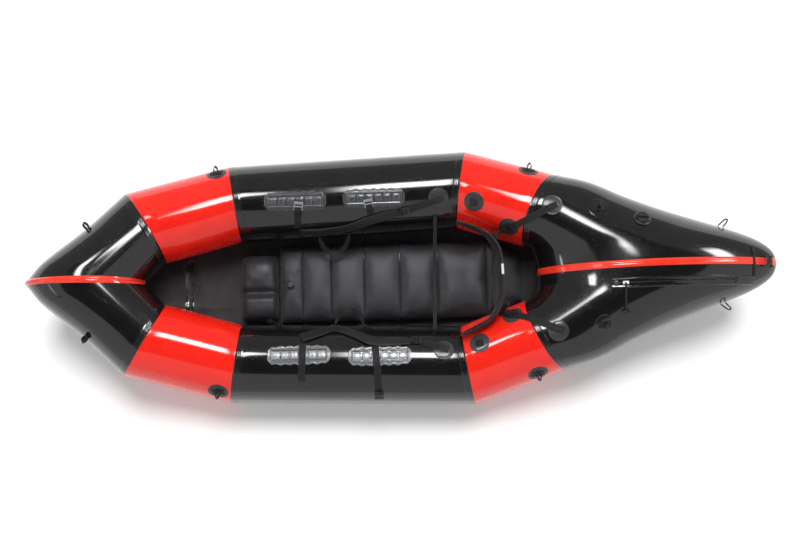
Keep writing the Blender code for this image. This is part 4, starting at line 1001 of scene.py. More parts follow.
    def above(self, x: float, y: float) -> Station:
        """The highest place on the skin over this spot."""
        place, normal, _, _ = self.tree.ray_cast(Vector((x, y, 2)), -UP)
        return place, normal

    def tube(self, x: float, angle: float, side: int, plain: bool = False) -> Station:
        """A place on a tube.

        Args:
            x: How far it lies along the raft, before the shift.
            angle: Degrees from the tube's top line towards the cockpit.
            side: 1 for starboard and -1 for port.
            plain: Whether to give the plain solid's surface, which the locks stand on.

        Returns:
            The place on the skin and the way out of it.
        """
        seams = self.form.seams
        panel = max(i for i in range(len(seams) - 1) if i == 0 or seams[i].x <= x)
        start, end = seams[panel], seams[panel + 1]
        cut, turn = self.form.cuts[panel][0], math.radians(angle)
        spoke = (cut.up * math.cos(turn) - cut.out * math.sin(turn)) * self.form.radius
        point = start + (end - start) * ((x - spoke.x - start.x) / (end.x - start.x)) + spoke
        point.x += self.form.shift
        point = point if side > 0 else mirrored(point)
        place, normal, _, _ = (self.guide if plain else self.tree).find_nearest(point)
        return place, normal

    def seat(self, x: float, angle: float, side: int, along: Vector = FORWARD, plain: bool = False) -> "Seat":
        """A seat on a tube whose along points this way, as near as the skin allows."""
        place, normal = self.tube(x, angle, side, plain)
        return Seat(place, normal, along)

    def top_seat(self, x: float, y: float, along: Vector = FORWARD) -> "Seat":
        """A seat on the highest place over this spot, before the shift."""
        place, normal = self.above(x + self.form.shift, y)
        return Seat(place, normal, along)

    def line(self, marks: Sequence[Mark], side: int, steps: int) -> list[Station]:
        """A smooth line over a tube.

        Args:
            marks: Places along X, angles and lifts off the tube.
            side: 1 for starboard and -1 for port.
            steps: How many stretches to divide it into.

        Returns:
            The line's spots and their ways out.
        """
        path = []
        for x, angle, lift in smooth_run([Vector(mark) for mark in marks], steps):
            place, normal = self.tube(x, angle, side, plain=True)
            path.append((place + normal * lift, normal))
        return path

    def build(self) -> None:
        """Makes every panel as a sheet of coated fabric with its thickness."""
        for panel in self.panels:
            sheet = Sheet()
            sheet.rows(panel.rings, round_rows=True)
            name = panel.name + "_skin"
            mesh = sheet.mesh(name)
            self.turn_out(mesh, panel)
            thickened(MAKER.piece(name, mesh, panel.finish, replaces=[panel.name], sharp=60), self.thickness)

    def turn_out(self, mesh: bpy.types.Mesh, panel: Panel) -> None:
        """Turns an open sleeve's faces outwards.

        Args:
            mesh: The sleeve's mesh.
            panel: The panel that it shows.
        """
        face = mesh.polygons[len(mesh.polygons) // 2]
        middle = panel.rings[len(panel.rings) // 2]
        out = face.center - sum(middle, Vector()) / self.sides
        if face.normal.dot(out) < 0:
            mesh.flip_normals()


@dataclass
class Seat:
    """A spot with a direction along, a direction across and a way up out of the surface."""

    place: Vector
    up: Vector
    along: Vector

    def __post_init__(self) -> None:
        """Squares the three ways to each other."""
        self.up = self.up.normalized()
        self.across = self.up.cross(self.along).normalized()
        self.along = self.across.cross(self.up)

    def at(self, along: float = 0.0, across: float = 0.0, up: float = 0.0) -> Vector:
        """The point this far along, across and up from the spot."""
        return self.place + self.along * along + self.across * across + self.up * up

    def raised(self, up: float) -> "Seat":
        """The same seat, this much farther out of the surface."""
        return Seat(self.at(up=up), self.up, self.along)


def strip(
    stations: Sequence[Station], widths: Size, thicks: Size, fullness: float = 5.0, across_points: int = 12
) -> Sheet:
    """A strap through the air, with a rounded section that is flat for webbing and full for padding.

    Args:
        stations: The middle of the strap and its way up, at each step.
        widths: Its width, or one for each step.
        thicks: Its thickness, or one for each step.
        fullness: How square its section is, 2 for an ellipse and more for flatter.
        across_points: How many points each half of the section has.

    Returns:
        The strap, closed at both ends.
    """
    sheet = Sheet()
    ways = directions([place for place, _ in stations])
    widths, thicks = each(widths, len(stations)), each(thicks, len(stations))
    rows, run = [], 0.0
    count = across_points * 2
    for i, ((place, normal), way) in enumerate(zip(stations, ways)):
        if i:
            run += (place - stations[i - 1][0]).length
        across = way.cross(normal).normalized()
        up = across.cross(way).normalized()
        row = []
        for k in range(count):
            turn = math.tau * (k + 0.5) / count
            c, s = math.cos(turn), math.sin(turn)
            x = math.copysign(abs(c) ** (2 / fullness), c) * widths[i] / 2
            y = math.copysign(abs(s) ** (2 / fullness), s) * thicks[i] / 2
            row.append(place + across * x + up * y)
            sheet.lie.append((x, run, y))
        rows.append(row)
    sheet.rows(rows, round_rows=True, capped=True)
    return sheet


def rod(places: Sequence[Vector], radius: Size, sides: int = 14, closed: bool = False) -> Sheet:
    """A round bar or cord along the places.

    Args:
        places: The points that it follows.
        radius: Its radius, or one for each point.
        sides: How many sides it has.
        closed: Whether it runs back to its start.

    Returns:
        The bar.
    """
    sheet = Sheet()
    radii = each(radius, len(places))
    ways = directions(places, closed)
    across = ways[0].orthogonal().normalized()
    rows, run = [], 0.0
    for i, (place, way) in enumerate(zip(places, ways)):
        if i:
            across = carried(across, ways[i - 1], way)
            run += (place - places[i - 1]).length
        across = (across - way * across.dot(way)).normalized()
        other = way.cross(across)
        rows.append([place + (across * math.cos(a) + other * math.sin(a)) * radii[i] for a in turns(sides)])
        sheet.lie += [(radii[i] * a, run, 0.0) for a in turns(sides)]
    sheet.rows(rows, round_rows=True, round_all=closed, capped=not closed)
    return sheet


def ring(seat: Seat, radius: float, height: float, sides: int) -> list[Vector]:
    """Points round a seat's way up, at this radius and this height over it."""
    return [seat.at(radius * math.cos(a), radius * math.sin(a), height) for a in turns(sides)]


def turned(profile: Sequence[Pair], seat: Seat, sides: int = 64) -> Sheet:
    """A piece turned about a seat's way up.

    Args:
        profile: Pairs of radius and height, both ends on the axis or the whole closed on itself.
        seat: Where it stands.
        sides: How many sides it has.

    Returns:
        The piece.
    """
    sheet = Sheet()
    solid = profile[0][0] == 0
    rows = [ring(seat, radius, height, sides) for radius, height in (profile[1:-1] if solid else profile)]
    sheet.rows(rows, round_rows=True, round_all=not solid, capped=solid)
    return sheet


def laid(
    hull: Hull, path: Sequence[Station], width: float, profile: Sequence[Pair], low: float, closed: bool = False
) -> Sheet:
    """A strip welded on the hull along a path.

    Args:
        hull: What it lies on.
        path: Spots near the hull and their ways out.
        width: The strip's width.
        profile: Pairs of a share of its half width, from -1 to 1, and its height there.
        low: How far its underside stays off the hull.
        closed: Whether it runs back to its start.

    Returns:
        The strip.
    """
    sheet = Sheet()
    ways = directions([place for place, _ in path], closed)
    rows, run = [], 0.0
    for i, ((place, normal), way) in enumerate(zip(path, ways)):
        if i:
            run += (place - path[i - 1][0]).length
        across = normal.cross(way).normalized()
        spots = [hull.near(place + across * (width / 2 * share)) for share, _ in profile]
        outs = []
        for k in range(len(profile)):
            around = [out for _, out in spots[max(k - 2, 0) : k + 3]]
            outs.append(sum(around, Vector()).normalized())
        top = [spot + out * (low + height) for (spot, _), out, (_, height) in zip(spots, outs, profile)]
        bottom = [spot + out * low for (spot, _), out in zip(spots, outs)]
        rows.append(top + bottom[::-1])
        lie = [(width / 2 * share, run, height) for share, height in profile]
        sheet.lie += lie + lie[::-1]
    sheet.rows(rows, round_rows=True, round_all=closed, capped=not closed)
    return sheet


def stitches(path: Sequence[Station], lift: float, pitch: float = 0.0032, radius: float = 0.00035) -> Sheet:
    """A row of stitches along a path, each a short thread.

    Args:
        path: The places they run through and the way up there.
        lift: How far the threads stand off the path.
        pitch: How far apart the stitches start.
        radius: The thread's radius.

    Returns:
        All the stitches in one sheet.
    """
    sheet = Sheet()
    for (place, normal), (after, _) in zip(path, path[1:]):
        count = max(round((after - place).length / pitch), 1)
        for k in range(count):
            start, end = (mixed(place, after, (k + part) / count) + normal * lift for part in (0.15, 0.8))
            middle = (start + end) / 2 + normal * radius
            sheet.join(rod([start, middle, end], [radius * 0.6, radius, radius * 0.6], 5))
    return sheet


def sewn_box(hull: Hull, seat: Seat, along: float, across: float, lift: float) -> Sheet:
    """The stitches round a square on the hull and over its two diagonals.

    Args:
        hull: What it lies on.
        seat: The square's middle.
        along: Half its length.
        across: Half its width.
        lift: How far the threads stand off the hull.

    Returns:
        The stitches.
    """
    return stitches([hull.near(seat.at(a * along, b * across)) for a, b in SEWN_BOX], lift)


@dataclass
class Tapes:
    """The welded tapes: over every seam, over the bow's mitre, down the stern, and across its tip."""

    hull: Hull
    seam_width: float = 0.025
    centre_width: float = 0.025
    steps: int = 120
    low: float = 0.0002
    bow_turns: Pair = (-36.0, 171.0)
    stern_turns: Pair = (-9.0, 180.0)
    strips: tuple[Pair, ...] = ((1.219, 0.052), (1.292, 0.020))
    strip_width: float = 0.010
    strip_profile: tuple[Pair, ...] = ((-1.0, 0.0002), (-0.9, 0.0016), (0.9, 0.0016), (1.0, 0.0002))
    strip_low: float = 0.0016
    seam_profile: tuple[Pair, ...] = (
        (0.0, 0.0011), (0.1, 0.0006), (0.4, 0.0006), (0.5, 0.0011), (0.6, 0.0006), (0.92, 0.0006), (1.0, 0.0001),
    )
    centre_profile: tuple[Pair, ...] = (
        (0.08, 0.0008), (0.18, 0.0009), (0.3, 0.0015), (0.42, 0.0008), (0.93, 0.0007), (1.0, 0.0001),
    )
    centre_low: float = 0.0006

    def seam(self, cut: Cut, way: float) -> list[Station]:
        """The path of a seam's tape, half its width to the black side of the seam.

        Args:
            cut: The seam's plane.
            way: 1 where the black panel follows the seam along the tube, and -1 where it comes before.

        Returns:
            The path's spots and ways out.
        """
        path = []
        for angle in turns(self.steps):
            place = cut.centre + cut.spoke(angle, self.hull.form.radius) + cut.along * (way * self.seam_width * 0.5)
            place.x += self.hull.form.shift
            path.append(self.hull.near(place))
        return path

    def centre_bow(self) -> list[Station]:
        """The path of the tape over the bow's mitre.

        Returns:
            The path's spots and ways out.
        """
        form = self.hull.form
        mitre = form.cuts[0][0]
        path = []
        for i in range(self.steps + 1):
            spoke = mitre.spoke(math.radians(mixed(*self.bow_turns, i / self.steps)), form.radius)
            place = mitre.centre + spoke + Vector((form.shift, 0, 0))
            path.append((place, Vector((spoke.x, 0, spoke.z)).normalized()))
        return path

    def centre_stern(self) -> list[Station]:
        """The path of the tape from the cockpit rim, over the stern and round its tip.

        Returns:
            The path's spots and ways out.
        """
        sides = 160
        ring = self.hull.form.stern_ring(1.0, sides)
        middle = sum(ring, Vector()) / sides
        first, last = (round(turn * sides / 360) for turn in self.stern_turns)
        places = [ring[i % sides] for i in range(first, last + 1)]
        path = []
        for place, way in zip(places, directions(places)):
            normal = way.cross(STARBOARD)
            normal = normal if normal.dot(place - middle) > 0 else -normal
            path.append((place + Vector((self.hull.form.shift, 0, 0)), normal))
        return path

    def across(self, x: float, reach: float) -> list[Station]:
        """The path of a strip across the stern's top."""
        spots = [self.hull.above(x + self.hull.form.shift, mixed(-reach, reach, i / 24)) for i in range(25)]
        return [spot for spot in spots if spot[0] is not None]

    def build(self) -> None:
        """Makes all the tapes."""
        cuts = self.hull.form.cuts
        seams = (
            ("bow_seam", cuts[0][1], -1), ("ahead_seam", cuts[2][0], 1),
            ("astern_seam", cuts[2][1], -1), ("stern_seam", cuts[3][1], 1),
        )
        for name, cut, way in seams:
            path = self.seam(cut, way)
            for where, side in SIDES:
                on_side = path if side > 0 else [(mirrored(p), mirrored(n)) for p, n in path]
                sheet = laid(self.hull, on_side, self.seam_width, symmetric(self.seam_profile), self.low, closed=True)
                MAKER.piece(f"{name}_tape_{where}", sheet, SEAM_TAPE, sharp=70)
        for name, path in (("bow_centre_tape", self.centre_bow()), ("stern_centre_tape", self.centre_stern())):
            sheet = laid(self.hull, path, self.centre_width, symmetric(self.centre_profile), self.centre_low)
            MAKER.piece(name + "_welded", sheet, RED_TAPE, replaces=[name], sharp=70)
        for i, (x, reach) in enumerate(self.strips):
            sheet = laid(self.hull, self.across(x, reach), self.strip_width, self.strip_profile, self.strip_low)
            MAKER.piece(f"stern_strip_{i}", sheet, BLACK_WEBBING)


@dataclass
class Anchors:
    """Round patches with webbing sewn on, the loops on them, the bow's loops and the stern's handle."""

    hull: Hull
    radius: float = 0.036
    thick: float = 0.0011
    inner: tuple[Pair, ...] = ((0.143, 20.0), (0.268, 21.5), (0.388, 46.5))
    stern_place: Pair = (0.536, 0.220)
    outer: tuple[Pair, ...] = ((-0.652, -53.0), (0.470, -58.0))
    side_place: Pair = (0.694, 0.203)
    bow_loop: Pair = (-1.088, -64.0)
    loop: Mark = (0.018, 0.026, 0.016)
    neck: float = 0.5
    handle: Mark = (1.262, 0.040, 0.020)
    handle_neck: float = 0.16
    box: float = 0.0085
    patch_profile: tuple[Pair, ...] = (
        (0.3, 1.0), (0.6, 1.0), (0.8, 1.0), (0.84, 0.75), (0.88, 0.75), (0.91, 1.15), (0.96, 1.1), (0.99, 0.8),
        (1.0, 0.3),
    )

    def inner_seats(self, side: int, plain: bool = False) -> list[Seat]:
        """The seats of one side's inner patches, bow first, and the one on the stern.

        Args:
            side: 1 for starboard and -1 for port.
            plain: Whether they stand on the plain solid's surface.

        Returns:
            The four seats.
        """
        seats = [self.hull.seat(x, angle, side, plain=plain) for x, angle in self.inner]
        x, y = self.stern_place
        return seats + [self.hull.top_seat(x, y * side)]

    def patch(self, seat: Seat, low: float = 0.0003, sides: int = 56) -> Sheet:
        """A disc of coated fabric that follows the hull, with a stepped rim and a welded ring.

        Args:
            seat: Its middle.
            low: How far its underside stays off the hull.
            sides: How many sides it has.

        Returns:
            The disc's upper face.
        """
        sheet = Sheet()
        rows = []
        for share, height in self.patch_profile:
            row = []
            for turn in turns(sides):
                x, y = math.cos(turn) * self.radius * share, math.sin(turn) * self.radius * share
                spot, out = self.hull.near(seat.at(x, y))
                row.append(spot + out * (low + self.thick * height))
                sheet.lie.append((x, y, height))
            rows.append(row)
        sheet.rows(rows, round_rows=True)
        spot, out = self.hull.near(seat.place)
        centre = len(sheet.points)
        sheet.points.append(spot + out * (low + self.thick))
        sheet.lie.append((0.0, 0.0, 1.0))
        sheet.faces += [(centre, k, (k + 1) % sides) for k in range(sides)]
        return sheet

    def sewn_square(self, name: str, seat: Seat, length: float = 0.028, lift: float = 0.0014) -> None:
        """A folded square of webbing on a patch, with its box of stitches.

        Args:
            name: The patch's name.
            seat: Its middle.
            length: The square's length.
            lift: How far it stands off the hull.
        """
        path = [self.hull.near(seat.at(mixed(-length / 2, length / 2, i / 8))) for i in range(9)]
        folded = WEBBING_THICK * 1.5
        above = [(place + normal * (lift + folded / 2), normal) for place, normal in path]
        MAKER.piece(name + "_square", strip(above, WEBBING_WIDTH, folded, WEBBING_FULLNESS), BLACK_WEBBING)
        threads = sewn_box(self.hull, seat, self.box, self.box, lift + folded)
        MAKER.piece(name + "_stitches", threads, STITCHING)

    def arch(self, seat: Seat, span: float, rise: float, pinch: float) -> Sheet:
        """A strap bent into an arch over a seat, with its feet drawn together.

        Args:
            seat: The spot between its feet.
            span: How wide it is.
            rise: How high it stands.
            pinch: How far its feet are drawn together, as a share of the span.

        Returns:
            The strap.
        """
        stations = []
        for i in range(33):
            turn = math.pi * i / 32
            out, height = -math.cos(turn), math.sin(turn)
            neck = 1 - pinch * (1 - height) ** 2
            up = (seat.along * (out / span) + seat.up * (height / (rise * 2))).normalized()
            stations.append((seat.at(out * span / 2 * neck, 0, height * rise), up))
        return strip(stations, self.loop[2], WEBBING_THICK, WEBBING_FULLNESS)

    def build(self) -> None:
        """Makes the patches, their sewn squares and all the loops."""
        span, rise, _ = self.loop
        names = ("bow_quarter_anchor_", "stern_quarter_anchor_", "stern_side_anchor_")
        for where, side in SIDES:
            x, y = self.side_place
            seats = [self.hull.seat(x, angle, side) for x, angle in self.outer] + [self.hull.top_seat(x, y * side)]
            for name, cloth, seat in zip(names, (PATCH_CLOTH, PATCH_CLOTH, SIDE_PATCH), seats):
                name += where
                MAKER.piece(name + "_patch", self.patch(seat), cloth, replaces=[name])
                MAKER.piece(name + "_loop", self.arch(seat.raised(0.0012), span, rise, self.neck), BLACK_WEBBING)
                self.sewn_square(name, seat, 0.044)
            loop = self.arch(self.hull.seat(*self.bow_loop, side).raised(0.0004), span, rise, self.neck)
            MAKER.piece(f"bow_loop_{where}_strap", loop, BLACK_WEBBING, replaces=[f"bow_loop_{where}"])
            _, rear, front, _ = self.inner_seats(side)
            name = f"rear_patch_{where}"
            MAKER.piece(name + "_disc", self.patch(rear), PATCH_CLOTH, replaces=[name])
            self.sewn_square(name, rear)
            MAKER.piece(f"lock_patch_{where}", self.patch(front, 0.0001), PATCH_CLOTH)
        x, span, rise = self.handle
        handle = self.arch(self.hull.top_seat(x, 0, STARBOARD).raised(0.0016), span, rise, self.handle_neck)
        MAKER.piece("stern_handle_strap", handle, BLACK_WEBBING, replaces=["stern_handle"])


@dataclass(frozen=True)
class MouldedFilm(Finish):
    """Clear moulded film over black fabric: dark where it is thin, and pale where it is thick milky moulding or where
    painted highlight falls.
    """

    # the pale tone of thick milky moulding and of painted highlight
    milky_highlight: Colour = (0.34, 0.355, 0.38)

    def cooked(self, recipe: Recipe) -> bpy.types.Material:
        """Colour by how milky the moulding is at each point and by its painted highlight, under a glossy skin.

        Args:
            recipe: The material in the making.

        Returns:
            The finished material.
        """
        share = recipe.split(recipe.lie())[2]
        # the share of milkiness and painted highlight, with a little random change
        milk_and_highlight_share = recipe.math("MULTIPLY", share, recipe.ranged(recipe.clouds(160.0, 3.0), 0.75, 1.1))
        recipe.bump(recipe.clouds(220.0, 2.0), 0.0004, 0.35)
        return recipe.finish(
            Base_Color=recipe.blend(milk_and_highlight_share, self.colour, self.milky_highlight),
            Roughness=recipe.ranged(recipe.clouds(90.0, 3.0), self.roughness * 0.7, self.roughness * 1.4, 0.3, 0.7),
            Coat_Weight=0.8,
            Coat_Roughness=0.06,
        )


# Lit and shaded copies of one moulding: the port films are paler with painted highlight, and the starboard ones darker
# with painted shade.
HIGHLIT_FILM = MouldedFilm("highlit_film", Slot.CLEAR, (0.022, 0.023, 0.025), 0.26)
SHADED_FILM = MouldedFilm("shaded_film", Slot.CLEAR, (0.012, 0.0125, 0.014), 0.34, (0.050, 0.053, 0.062))


@dataclass
class DaisyChains:
    """Moulded patches, each with a wavy edge and a window of six cells to tie things to."""

    hull: Hull
    length: float = 0.220
    width: float = 0.072
    window: tuple[float, float] = (0.190, 0.035)
    cells: int = 6
    waves: int = 7
    rows: int = 150
    columns: int = 44
    low: float = 0.0004
    fullness: Mark = (0.0006, 0.0012, 0.0005)
    bead: Pair = (0.0022, 0.0022)
    dome: Pair = (0.0026, 0.0004)
    starboard: tuple[Pair, ...] = ((-0.366, 11.0), (-0.086, 14.0))
    port: tuple[Pair, ...] = ((-0.362, 11.0), (-0.080, 10.5))

    def edge(self, along: float) -> float:
        """The patch's half width, from 0 to 1, at a share of its half length."""
        end = (1 - abs(along) ** 7) ** 0.45 if abs(along) < 1 else 0.0
        return (0.22 + 0.78 * end) * (0.94 + 0.06 * math.cos(along * math.pi * self.waves))

    def cell(self, x: float, y: float) -> Pair:
        """Where a spot lies in its cell, from -1 to 1 along and across."""
        pitch = self.window[0] / self.cells
        return ((x + self.window[0] / 2) % pitch) / pitch * 2 - 1, y / (self.window[1] / 2)

    def gap(self, x: float, y: float) -> float:
        """How far a spot lies outside the window, or inside it where this is negative."""
        return max(abs(x) - self.window[0] / 2, abs(y) - self.window[1] / 2)

    def height(self, x: float, y: float, rim: float) -> float:
        """How high the moulding stands.

        Args:
            x: How far along from its middle.
            y: How far across from its middle.
            rim: How far in from its edge, as a share of its half width.

        Returns:
            The height in metres.
        """
        film, border, dip = self.fullness
        high = film + border * eased(rim / 0.10) - dip * eased((rim - 0.12) / 0.08)
        bead, reach = self.bead
        high += bead * math.exp(-((self.gap(x, y) - reach) / reach) ** 2)
        if max(abs(x) / (self.window[0] / 2), abs(y) / (self.window[1] / 2)) < 1:
            along, across = self.cell(x, y)
            full, sunk = self.dome
            dome = max(1 - (abs(along) / 0.78) ** 4 - (abs(across) / 0.72) ** 4, 0.0)
            high += full * math.sqrt(dome) - sunk
        return high

    def milk_and_highlight(self, x: float, y: float, rim: float) -> float:
        """How pale the moulding is, from milkiness and painted highlight: bright cells and a bright band near its rim,
        a grey border, and darker round its window.

        Args:
            x: How far along from its middle.
            y: How far across from its middle.
            rim: How far in from its edge, as a share of its half width.

        Returns:
            A share from 0 to 1.
        """
        gap = self.gap(x, y)
        if gap > 0:
            # painted highlight: a brighter band of the border near the rim
            border = 0.34 + 0.20 * math.exp(-((rim - 0.08) / 0.06) ** 2)
            return border * eased(gap / self.bead[1])
        along, across = self.cell(x, y)
        inside = 1 - max(abs(along) / 0.86, abs(across) / 0.80)
        # painted highlight: the cells grow bright towards their middles
        return 0.06 + 0.94 * eased(inside / 0.14)

    def chain(self, name: str, seat: Seat, finish: Finish) -> None:
        """Makes one patch on its seat.

        Args:
            name: The plain node that it stands for.
            seat: Its middle.
            finish: Its finish.
        """
        sheet = Sheet()
        over = []
        for i in range(self.rows + 1):
            along = math.sin((2 * i / self.rows - 1) * math.pi / 2)
            edge = self.edge(along) * self.width / 2
            top = []
            for j in range(self.columns + 1):
                share = math.sin((2 * j / self.columns - 1) * math.pi / 2)
                x, y = along * self.length / 2, share * edge
                rim = min((1 - abs(share)) * edge, (1 - abs(along)) * self.length / 2) / (self.width / 2)
                spot, out = self.hull.near(seat.at(x, y))
                top.append(spot + out * (self.low + self.height(x, y, rim)))
                sheet.lie.append((x, y, self.milk_and_highlight(x, y, rim)))
            over.append(top)
        sheet.rows(over)
        MAKER.piece(name + "_film", sheet, finish, replaces=[name], sharp=80)

    def build(self) -> None:
        """Makes the four patches: a lit copy of the moulding on port and a shaded copy on starboard."""
        # painted light: the port films take the lit copy and the starboard films the shaded copy
        for (where, side), places, finish in zip(SIDES, (self.starboard, self.port), (SHADED_FILM, HIGHLIT_FILM)):
            for end, (x, angle) in zip(("bow", "stern"), places):
                self.chain(f"daisy_chain_{end}_{where}", self.hull.seat(x, angle, side), finish)


@dataclass
class Straps:
    """Everything of webbing that runs over the tubes: thigh, chain and rear straps, tails and grab loops."""

    hull: Hull
    anchors: Anchors
    gap: float = 0.0003
    bar: float = 0.004
    slot: float = 0.0065
    lip: float = 0.009
    lift: float = 0.0030
    turned_back: float = 0.010
    thigh_width: float = 0.038
    thigh_thick: float = 0.0058
    thigh_steps: int = 112
    thigh_taper: Pair = (0.70, 0.22)
    thigh_starboard: tuple[Mark, ...] = (
        (-0.357, 64.0, 0.0005), (-0.275, 64.5, 0.0005), (-0.194, 61.0, 0.0005), (-0.095, 47.0, 0.0005),
        (-0.018, 40.0, 0.0003), (0.006, 38.0, 0.0),
    )
    thigh_port: tuple[Mark, ...] = (
        (-0.355, 36.0, 0.004), (-0.300, 46.0, 0.002), (-0.238, 57.0, 0.001), (-0.170, 46.0, 0.002),
        (-0.107, 32.0, 0.005), (-0.040, 31.0, 0.004), (0.022, 33.5, 0.0), (0.034, 33.8, 0.0),
    )
    chains: dict[str, tuple[Mark, ...]] = field(default_factory=lambda: {
        "bow_port": (
            (-0.349, 29.0, 0.0), (-0.349, 26.5, 0.004), (-0.350, 11.0, 0.004), (-0.351, -4.5, 0.004),
            (-0.352, -8.0, 0.001), (-0.356, -27.0, 0.0),
        ),
        "stern_port": (
            (-0.096, 24.0, 0.004), (-0.093, 11.0, 0.004), (-0.091, -4.5, 0.004), (-0.090, -8.0, 0.001),
            (-0.089, -30.0, 0.0), (-0.088, -43.0, 0.0),
        ),
        "bow_starboard": (
            (-0.363, 54.0, 0.0), (-0.361, 42.0, 0.0), (-0.358, 30.5, 0.001), (-0.357, 27.5, 0.003),
            (-0.3565, 25.0, 0.004),
        ),
        "stern_starboard": (
            (-0.098, 37.0, 0.0), (-0.100, 33.0, 0.001), (-0.101, 30.0, 0.003), (-0.102, 27.5, 0.004),
        ),
    })
    locked: tuple[str, ...] = ("stern_port", "bow_starboard", "stern_starboard")
    grabs: dict[str, tuple[float, ...]] = field(default_factory=lambda: {
        "starboard": (-0.290, 78.0, -0.184, 79.0, 0.100), "port": (-0.238, 78.0, -0.140, 79.0, 0.108),
    })
    grab_level: float = 0.140
    cross_ends: tuple[Pair, ...] = ((0.131, 46.8), (0.117, 58.7))
    cross_sag: tuple[Pair, ...] = ((0.12, 0.012), (0.35, 0.030), (0.6, 0.032), (0.88, 0.010))
    label_place: Pair = (-0.329, 46.6)

    def resting(self, path: Sequence[Station], thick: float) -> list[Station]:
        """Stations for a strap of this thickness that lies on the path."""
        return [(place + normal * (self.gap + thick / 2), normal) for place, normal in path]

    def short(self, seat: Seat, thick: float) -> list[Station]:
        """Stations for a short strap of this thickness that lies over a seat."""
        return self.resting([self.hull.near(seat.at(a)) for a in (-0.016, -0.008, 0.0, 0.008, 0.016)], thick)

    def looped_end(self, seat: Seat) -> list[Station]:
        """The end of a strap that goes under a lock's front bar, up its slot and back over the bar.

        Args:
            seat: The lock's seat.

        Returns:
            The stations.
        """
        bar = seat.at(along=self.bar / 2, up=self.lift + self.bar / 2)
        reach = self.bar / math.sqrt(2) + self.gap + WEBBING_THICK / 2
        stations = []
        for i in range(25):
            turn = math.pi * i / 24
            out = seat.along * math.sin(turn) - seat.up * math.cos(turn)
            stations.append((bar + out * reach, -out))
        last, up = stations[-1]
        ends = [(last - seat.along * (self.turned_back * k / 3), up) for k in (1, 2, 3)]
        return stations + ends

    def lock_seat(self, path: Sequence[Station], span: int) -> Seat:
        """The seat of a lock whose front bar stands just past the end of a path.

        Args:
            path: The strap's path.
            span: How many stretches of its end give the lock's direction.

        Returns:
            The seat.
        """
        before, (end, normal) = path[-1 - span][0], path[-1]
        seat = Seat(end, normal, end - before)
        return Seat(seat.at(along=self.bar), normal, seat.along)

    def strap(
        self,
        name: str,
        stations: Sequence[Station],
        widths: Size = WEBBING_WIDTH,
        thicks: Size = WEBBING_THICK,
        finish: Finish = BLACK_WEBBING,
        node: str | None = None,
        fullness: float = WEBBING_FULLNESS,
    ) -> bpy.types.Object:
        """Makes one strap as a piece.

        Args:
            name: Its name.
            stations: Its line and its ways up.
            widths: Its width, or one for each station.
            thicks: Its thickness, or one for each station.
            finish: Its finish.
            node: The plain node that it stands for.
            fullness: How square its section is.

        Returns:
            The piece.
        """
        sheet = strip(stations, widths, thicks, fullness)
        return MAKER.piece(name, sheet, finish, replaces=[node] if node else [], sharp=50)

    def thigh(self, where: str, side: int) -> None:
        """A padded thigh strap that is drawn in to webbing where it loops into its lock.

        Args:
            where: The side's name.
            side: 1 for starboard and -1 for port.
        """
        path = self.hull.line(self.thigh_starboard if side > 0 else self.thigh_port, side, self.thigh_steps)
        seat = self.lock_seat(path, 4)
        name = f"thigh_strap_{where}"
        widths, thicks, stations = [], [], []
        start, reach = self.thigh_taper
        for i, (place, normal) in enumerate(path):
            drawn = eased((i / self.thigh_steps - start) / reach)
            thick = mixed(self.thigh_thick * (0.5 + 0.5 * eased(i / 3)), WEBBING_THICK, drawn)
            widths.append(mixed(self.thigh_width, WEBBING_WIDTH, drawn))
            thicks.append(thick)
            stations += self.resting([(place, normal)], thick)
        padded = round(self.thigh_steps * (start + reach))
        shape = [part[: padded + 1] for part in (stations, widths, thicks)]
        pad = self.strap(name + "_pad", *shape, PADDING_CLOTH, name, 3.2)
        self.strap(name + "_webbing", stations[padded - 3 :] + self.looped_end(seat))
        run = list(zip(stations, widths, thicks))[2:padded:2]
        ways = directions([place for (place, _), _, _ in run])
        for letter, edge in (("a", -1), ("b", 1)):
            seam = []
            for ((place, normal), width, thick), way in zip(run, ways):
                out = way.cross(normal).normalized() * (edge * width * 0.40)
                seam.append((place + out + normal * (thick * 0.42), normal))
            MAKER.piece(f"{name}_seam_{letter}", stitches(seam, 0.0, 0.0040), STITCHING)
        MAKER.kept(f"thigh_lock_{where}", BLACK_MOULDING)
        self.tail(f"thigh_anchor_{where}", seat, self.anchors.inner_seats(side)[0])

    def tail(self, name: str, lock: Seat, seat: Seat) -> None:
        """A patch with the webbing sewn to it that runs forward under a lock.

        Args:
            name: The plain node that it stands for.
            lock: The lock's seat.
            seat: The patch's seat.
        """
        MAKER.piece(name + "_patch", self.anchors.patch(seat), PATCH_CLOTH, replaces=[name])
        start = lock.at(along=self.bar + self.slot + self.bar / 2, up=self.lift - self.gap * 2 - WEBBING_THICK / 2)
        end = seat.at(along=-self.anchors.radius / 2)
        first_rise = (start - self.hull.near(start)[0]).length
        stations = []
        for i in range(41):
            spot, normal = self.hull.near(mixed(start, end, i / 40))
            rise = mixed(first_rise, self.anchors.thick + WEBBING_THICK / 2, min(i / 40 / 0.3, 1.0))
            stations.append((spot + normal * rise, normal))
        self.strap(name + "_tail", stations)
        threads = sewn_box(self.hull, seat, 0.012, self.anchors.box, self.anchors.thick + WEBBING_THICK)
        MAKER.piece(name + "_stitches", threads, STITCHING)

    def chain(self, where: str, marks: Sequence[Mark]) -> None:
        """A strap over a daisy chain.

        Args:
            where: The chain's end and side.
            marks: The strap's line over the tube.
        """
        path = self.hull.line(marks, 1 if where.endswith("starboard") else -1, 56)
        stations = self.resting(path, WEBBING_THICK)
        if where in self.locked:
            stations += self.looped_end(self.lock_seat(path, 4))
            MAKER.kept("chain_lock_" + where, PALE_MOULDING if where.endswith("starboard") else BLACK_MOULDING)
        name = "chain_strap_" + where
        self.strap(name + "_webbing", stations, node=name)

